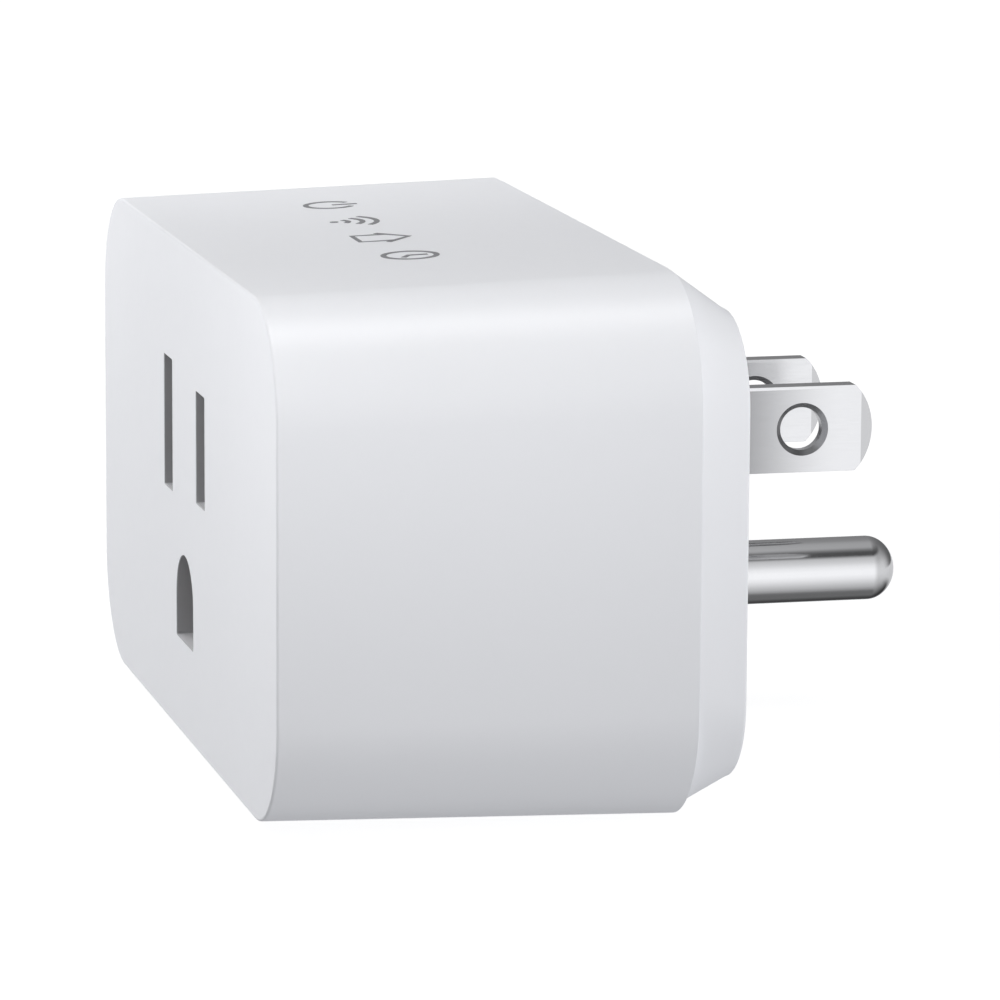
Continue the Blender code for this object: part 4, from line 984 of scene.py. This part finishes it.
def area_light(name, place, size, power):
    """A soft box aimed at the plug, in millimetres and watts; it shows in no reflection."""
    data = bpy.data.lights.new(name, "AREA")
    data.shape = "SQUARE"
    data.size = size * MM
    data.energy = power
    lamp = bpy.data.objects.new(name, data)
    lamp.location = Vector(place) * MM
    aim = (SOFT_BOX_AIM - Vector(place)).to_track_quat("-Z", "Y")
    lamp.rotation_mode = "QUATERNION"
    lamp.rotation_quaternion = aim
    lamp.visible_glossy = False
    lamp.visible_camera = False
    bpy.context.scene.collection.objects.link(lamp)
    return lamp


SOFT_BOXES = (
    # name, place, size, power
    ("right_soft_box", (120.0, -10.0, 30.0), 60.0, 0.015),
    ("side_soft_box", (90.0, -10.0, 20.0), 30.0, 0.004),
    ("shoulder_soft_box", (70.0, -40.0, 60.0), 40.0, 0.0088),
    ("corner_soft_box", (45.0, -70.0, 30.0), 30.0, 0.0071),
    ("rear_soft_box", (70.0, 30.0, 100.0), 60.0, 0.0382),
    ("left_soft_box", (-90.0, -60.0, 60.0), 60.0, 0.05),
    ("far_soft_box", (-120.0, -150.0, 60.0), 120.0, 0.02),
    ("high_soft_box", (-10.0, -100.0, 80.0), 60.0, 0.02),
    ("top_soft_box", (-30.0, -5.0, 60.0), 40.0, 0.006),
    ("away_soft_box", (-50.0, 10.0, 90.0), 60.0, 0.0077),
)


STRIP_PLACE = (30.5, 6.0, 77.0)
STRIP_SIZE = (12.0, 90.0)      # along X and Y
STRIP_POWER = 0.0215
STRAIGHT_DOWN = (1.0, 0.0, 0.0, 0.0)


def strip_light(shell):
    """A narrow tube over the near top edge, seen only as gloss on the shell's rounded edge."""
    lamp = area_light("strip_light", STRIP_PLACE, STRIP_SIZE[0], STRIP_POWER)
    lamp.data.shape = "RECTANGLE"
    lamp.data.size_y = STRIP_SIZE[1] * MM
    lamp.rotation_quaternion = STRAIGHT_DOWN
    lamp.visible_glossy = True
    lamp.visible_diffuse = False
    lit = bpy.data.collections.new("lit_by_strip")
    lit.objects.link(shell)
    lamp.light_linking.receiver_collection = lit


def studio_lights(shell):
    """All the lamps; the strip light shines on the shell alone."""
    for name, place, size, power in SOFT_BOXES:
        area_light(name, place, size, power)
    strip_light(shell)


# The camera stands right of the plug and a little above it, nearly side on.
CAMERA_PLACE = (406.60, -107.68, 74.99)
CAMERA_TURN = math.radians(13.568)
CAMERA_DIP = math.radians(10.353)
CAMERA_ROLL = math.radians(0.313)
CAMERA_LENS = 208.35
CAMERA_SENSOR = 36.0
CAMERA_CLIP = (0.01, 30.0)     # in metres


def studio_camera():
    """A long lens that looks along -X, turned towards +Y, dipped and rolled a little."""
    data = bpy.data.cameras.new("camera")
    data.sensor_width = CAMERA_SENSOR
    data.lens = CAMERA_LENS
    data.clip_start, data.clip_end = CAMERA_CLIP
    camera = bpy.data.objects.new("camera", data)
    bpy.context.scene.collection.objects.link(camera)
    forward = Vector((-math.cos(CAMERA_TURN) * math.cos(CAMERA_DIP),
                      math.sin(CAMERA_TURN) * math.cos(CAMERA_DIP), -math.sin(CAMERA_DIP)))
    right = forward.cross(Vector((0, 0, 1))).normalized()
    up = right.cross(forward)
    level = Matrix((right, up, -forward)).transposed().to_4x4()
    camera.matrix_world = (Matrix.Translation(Vector(CAMERA_PLACE) * MM) @ level
                           @ Matrix.Rotation(CAMERA_ROLL, 4, "Z"))
    bpy.context.scene.camera = camera


shell = housing()
rear_cover()
blade("hot_blade_plated", "hot_blade", HOT_X)
blade("neutral_blade_plated", "neutral_blade", -HOT_X)
ground_pin()
button()
light_guide()
top_print()
dress_inner_pieces()
studio_floor()
studio_world()
studio_lights(shell)
studio_camera()
bpy.context.scene.view_settings.view_transform = "Standard"
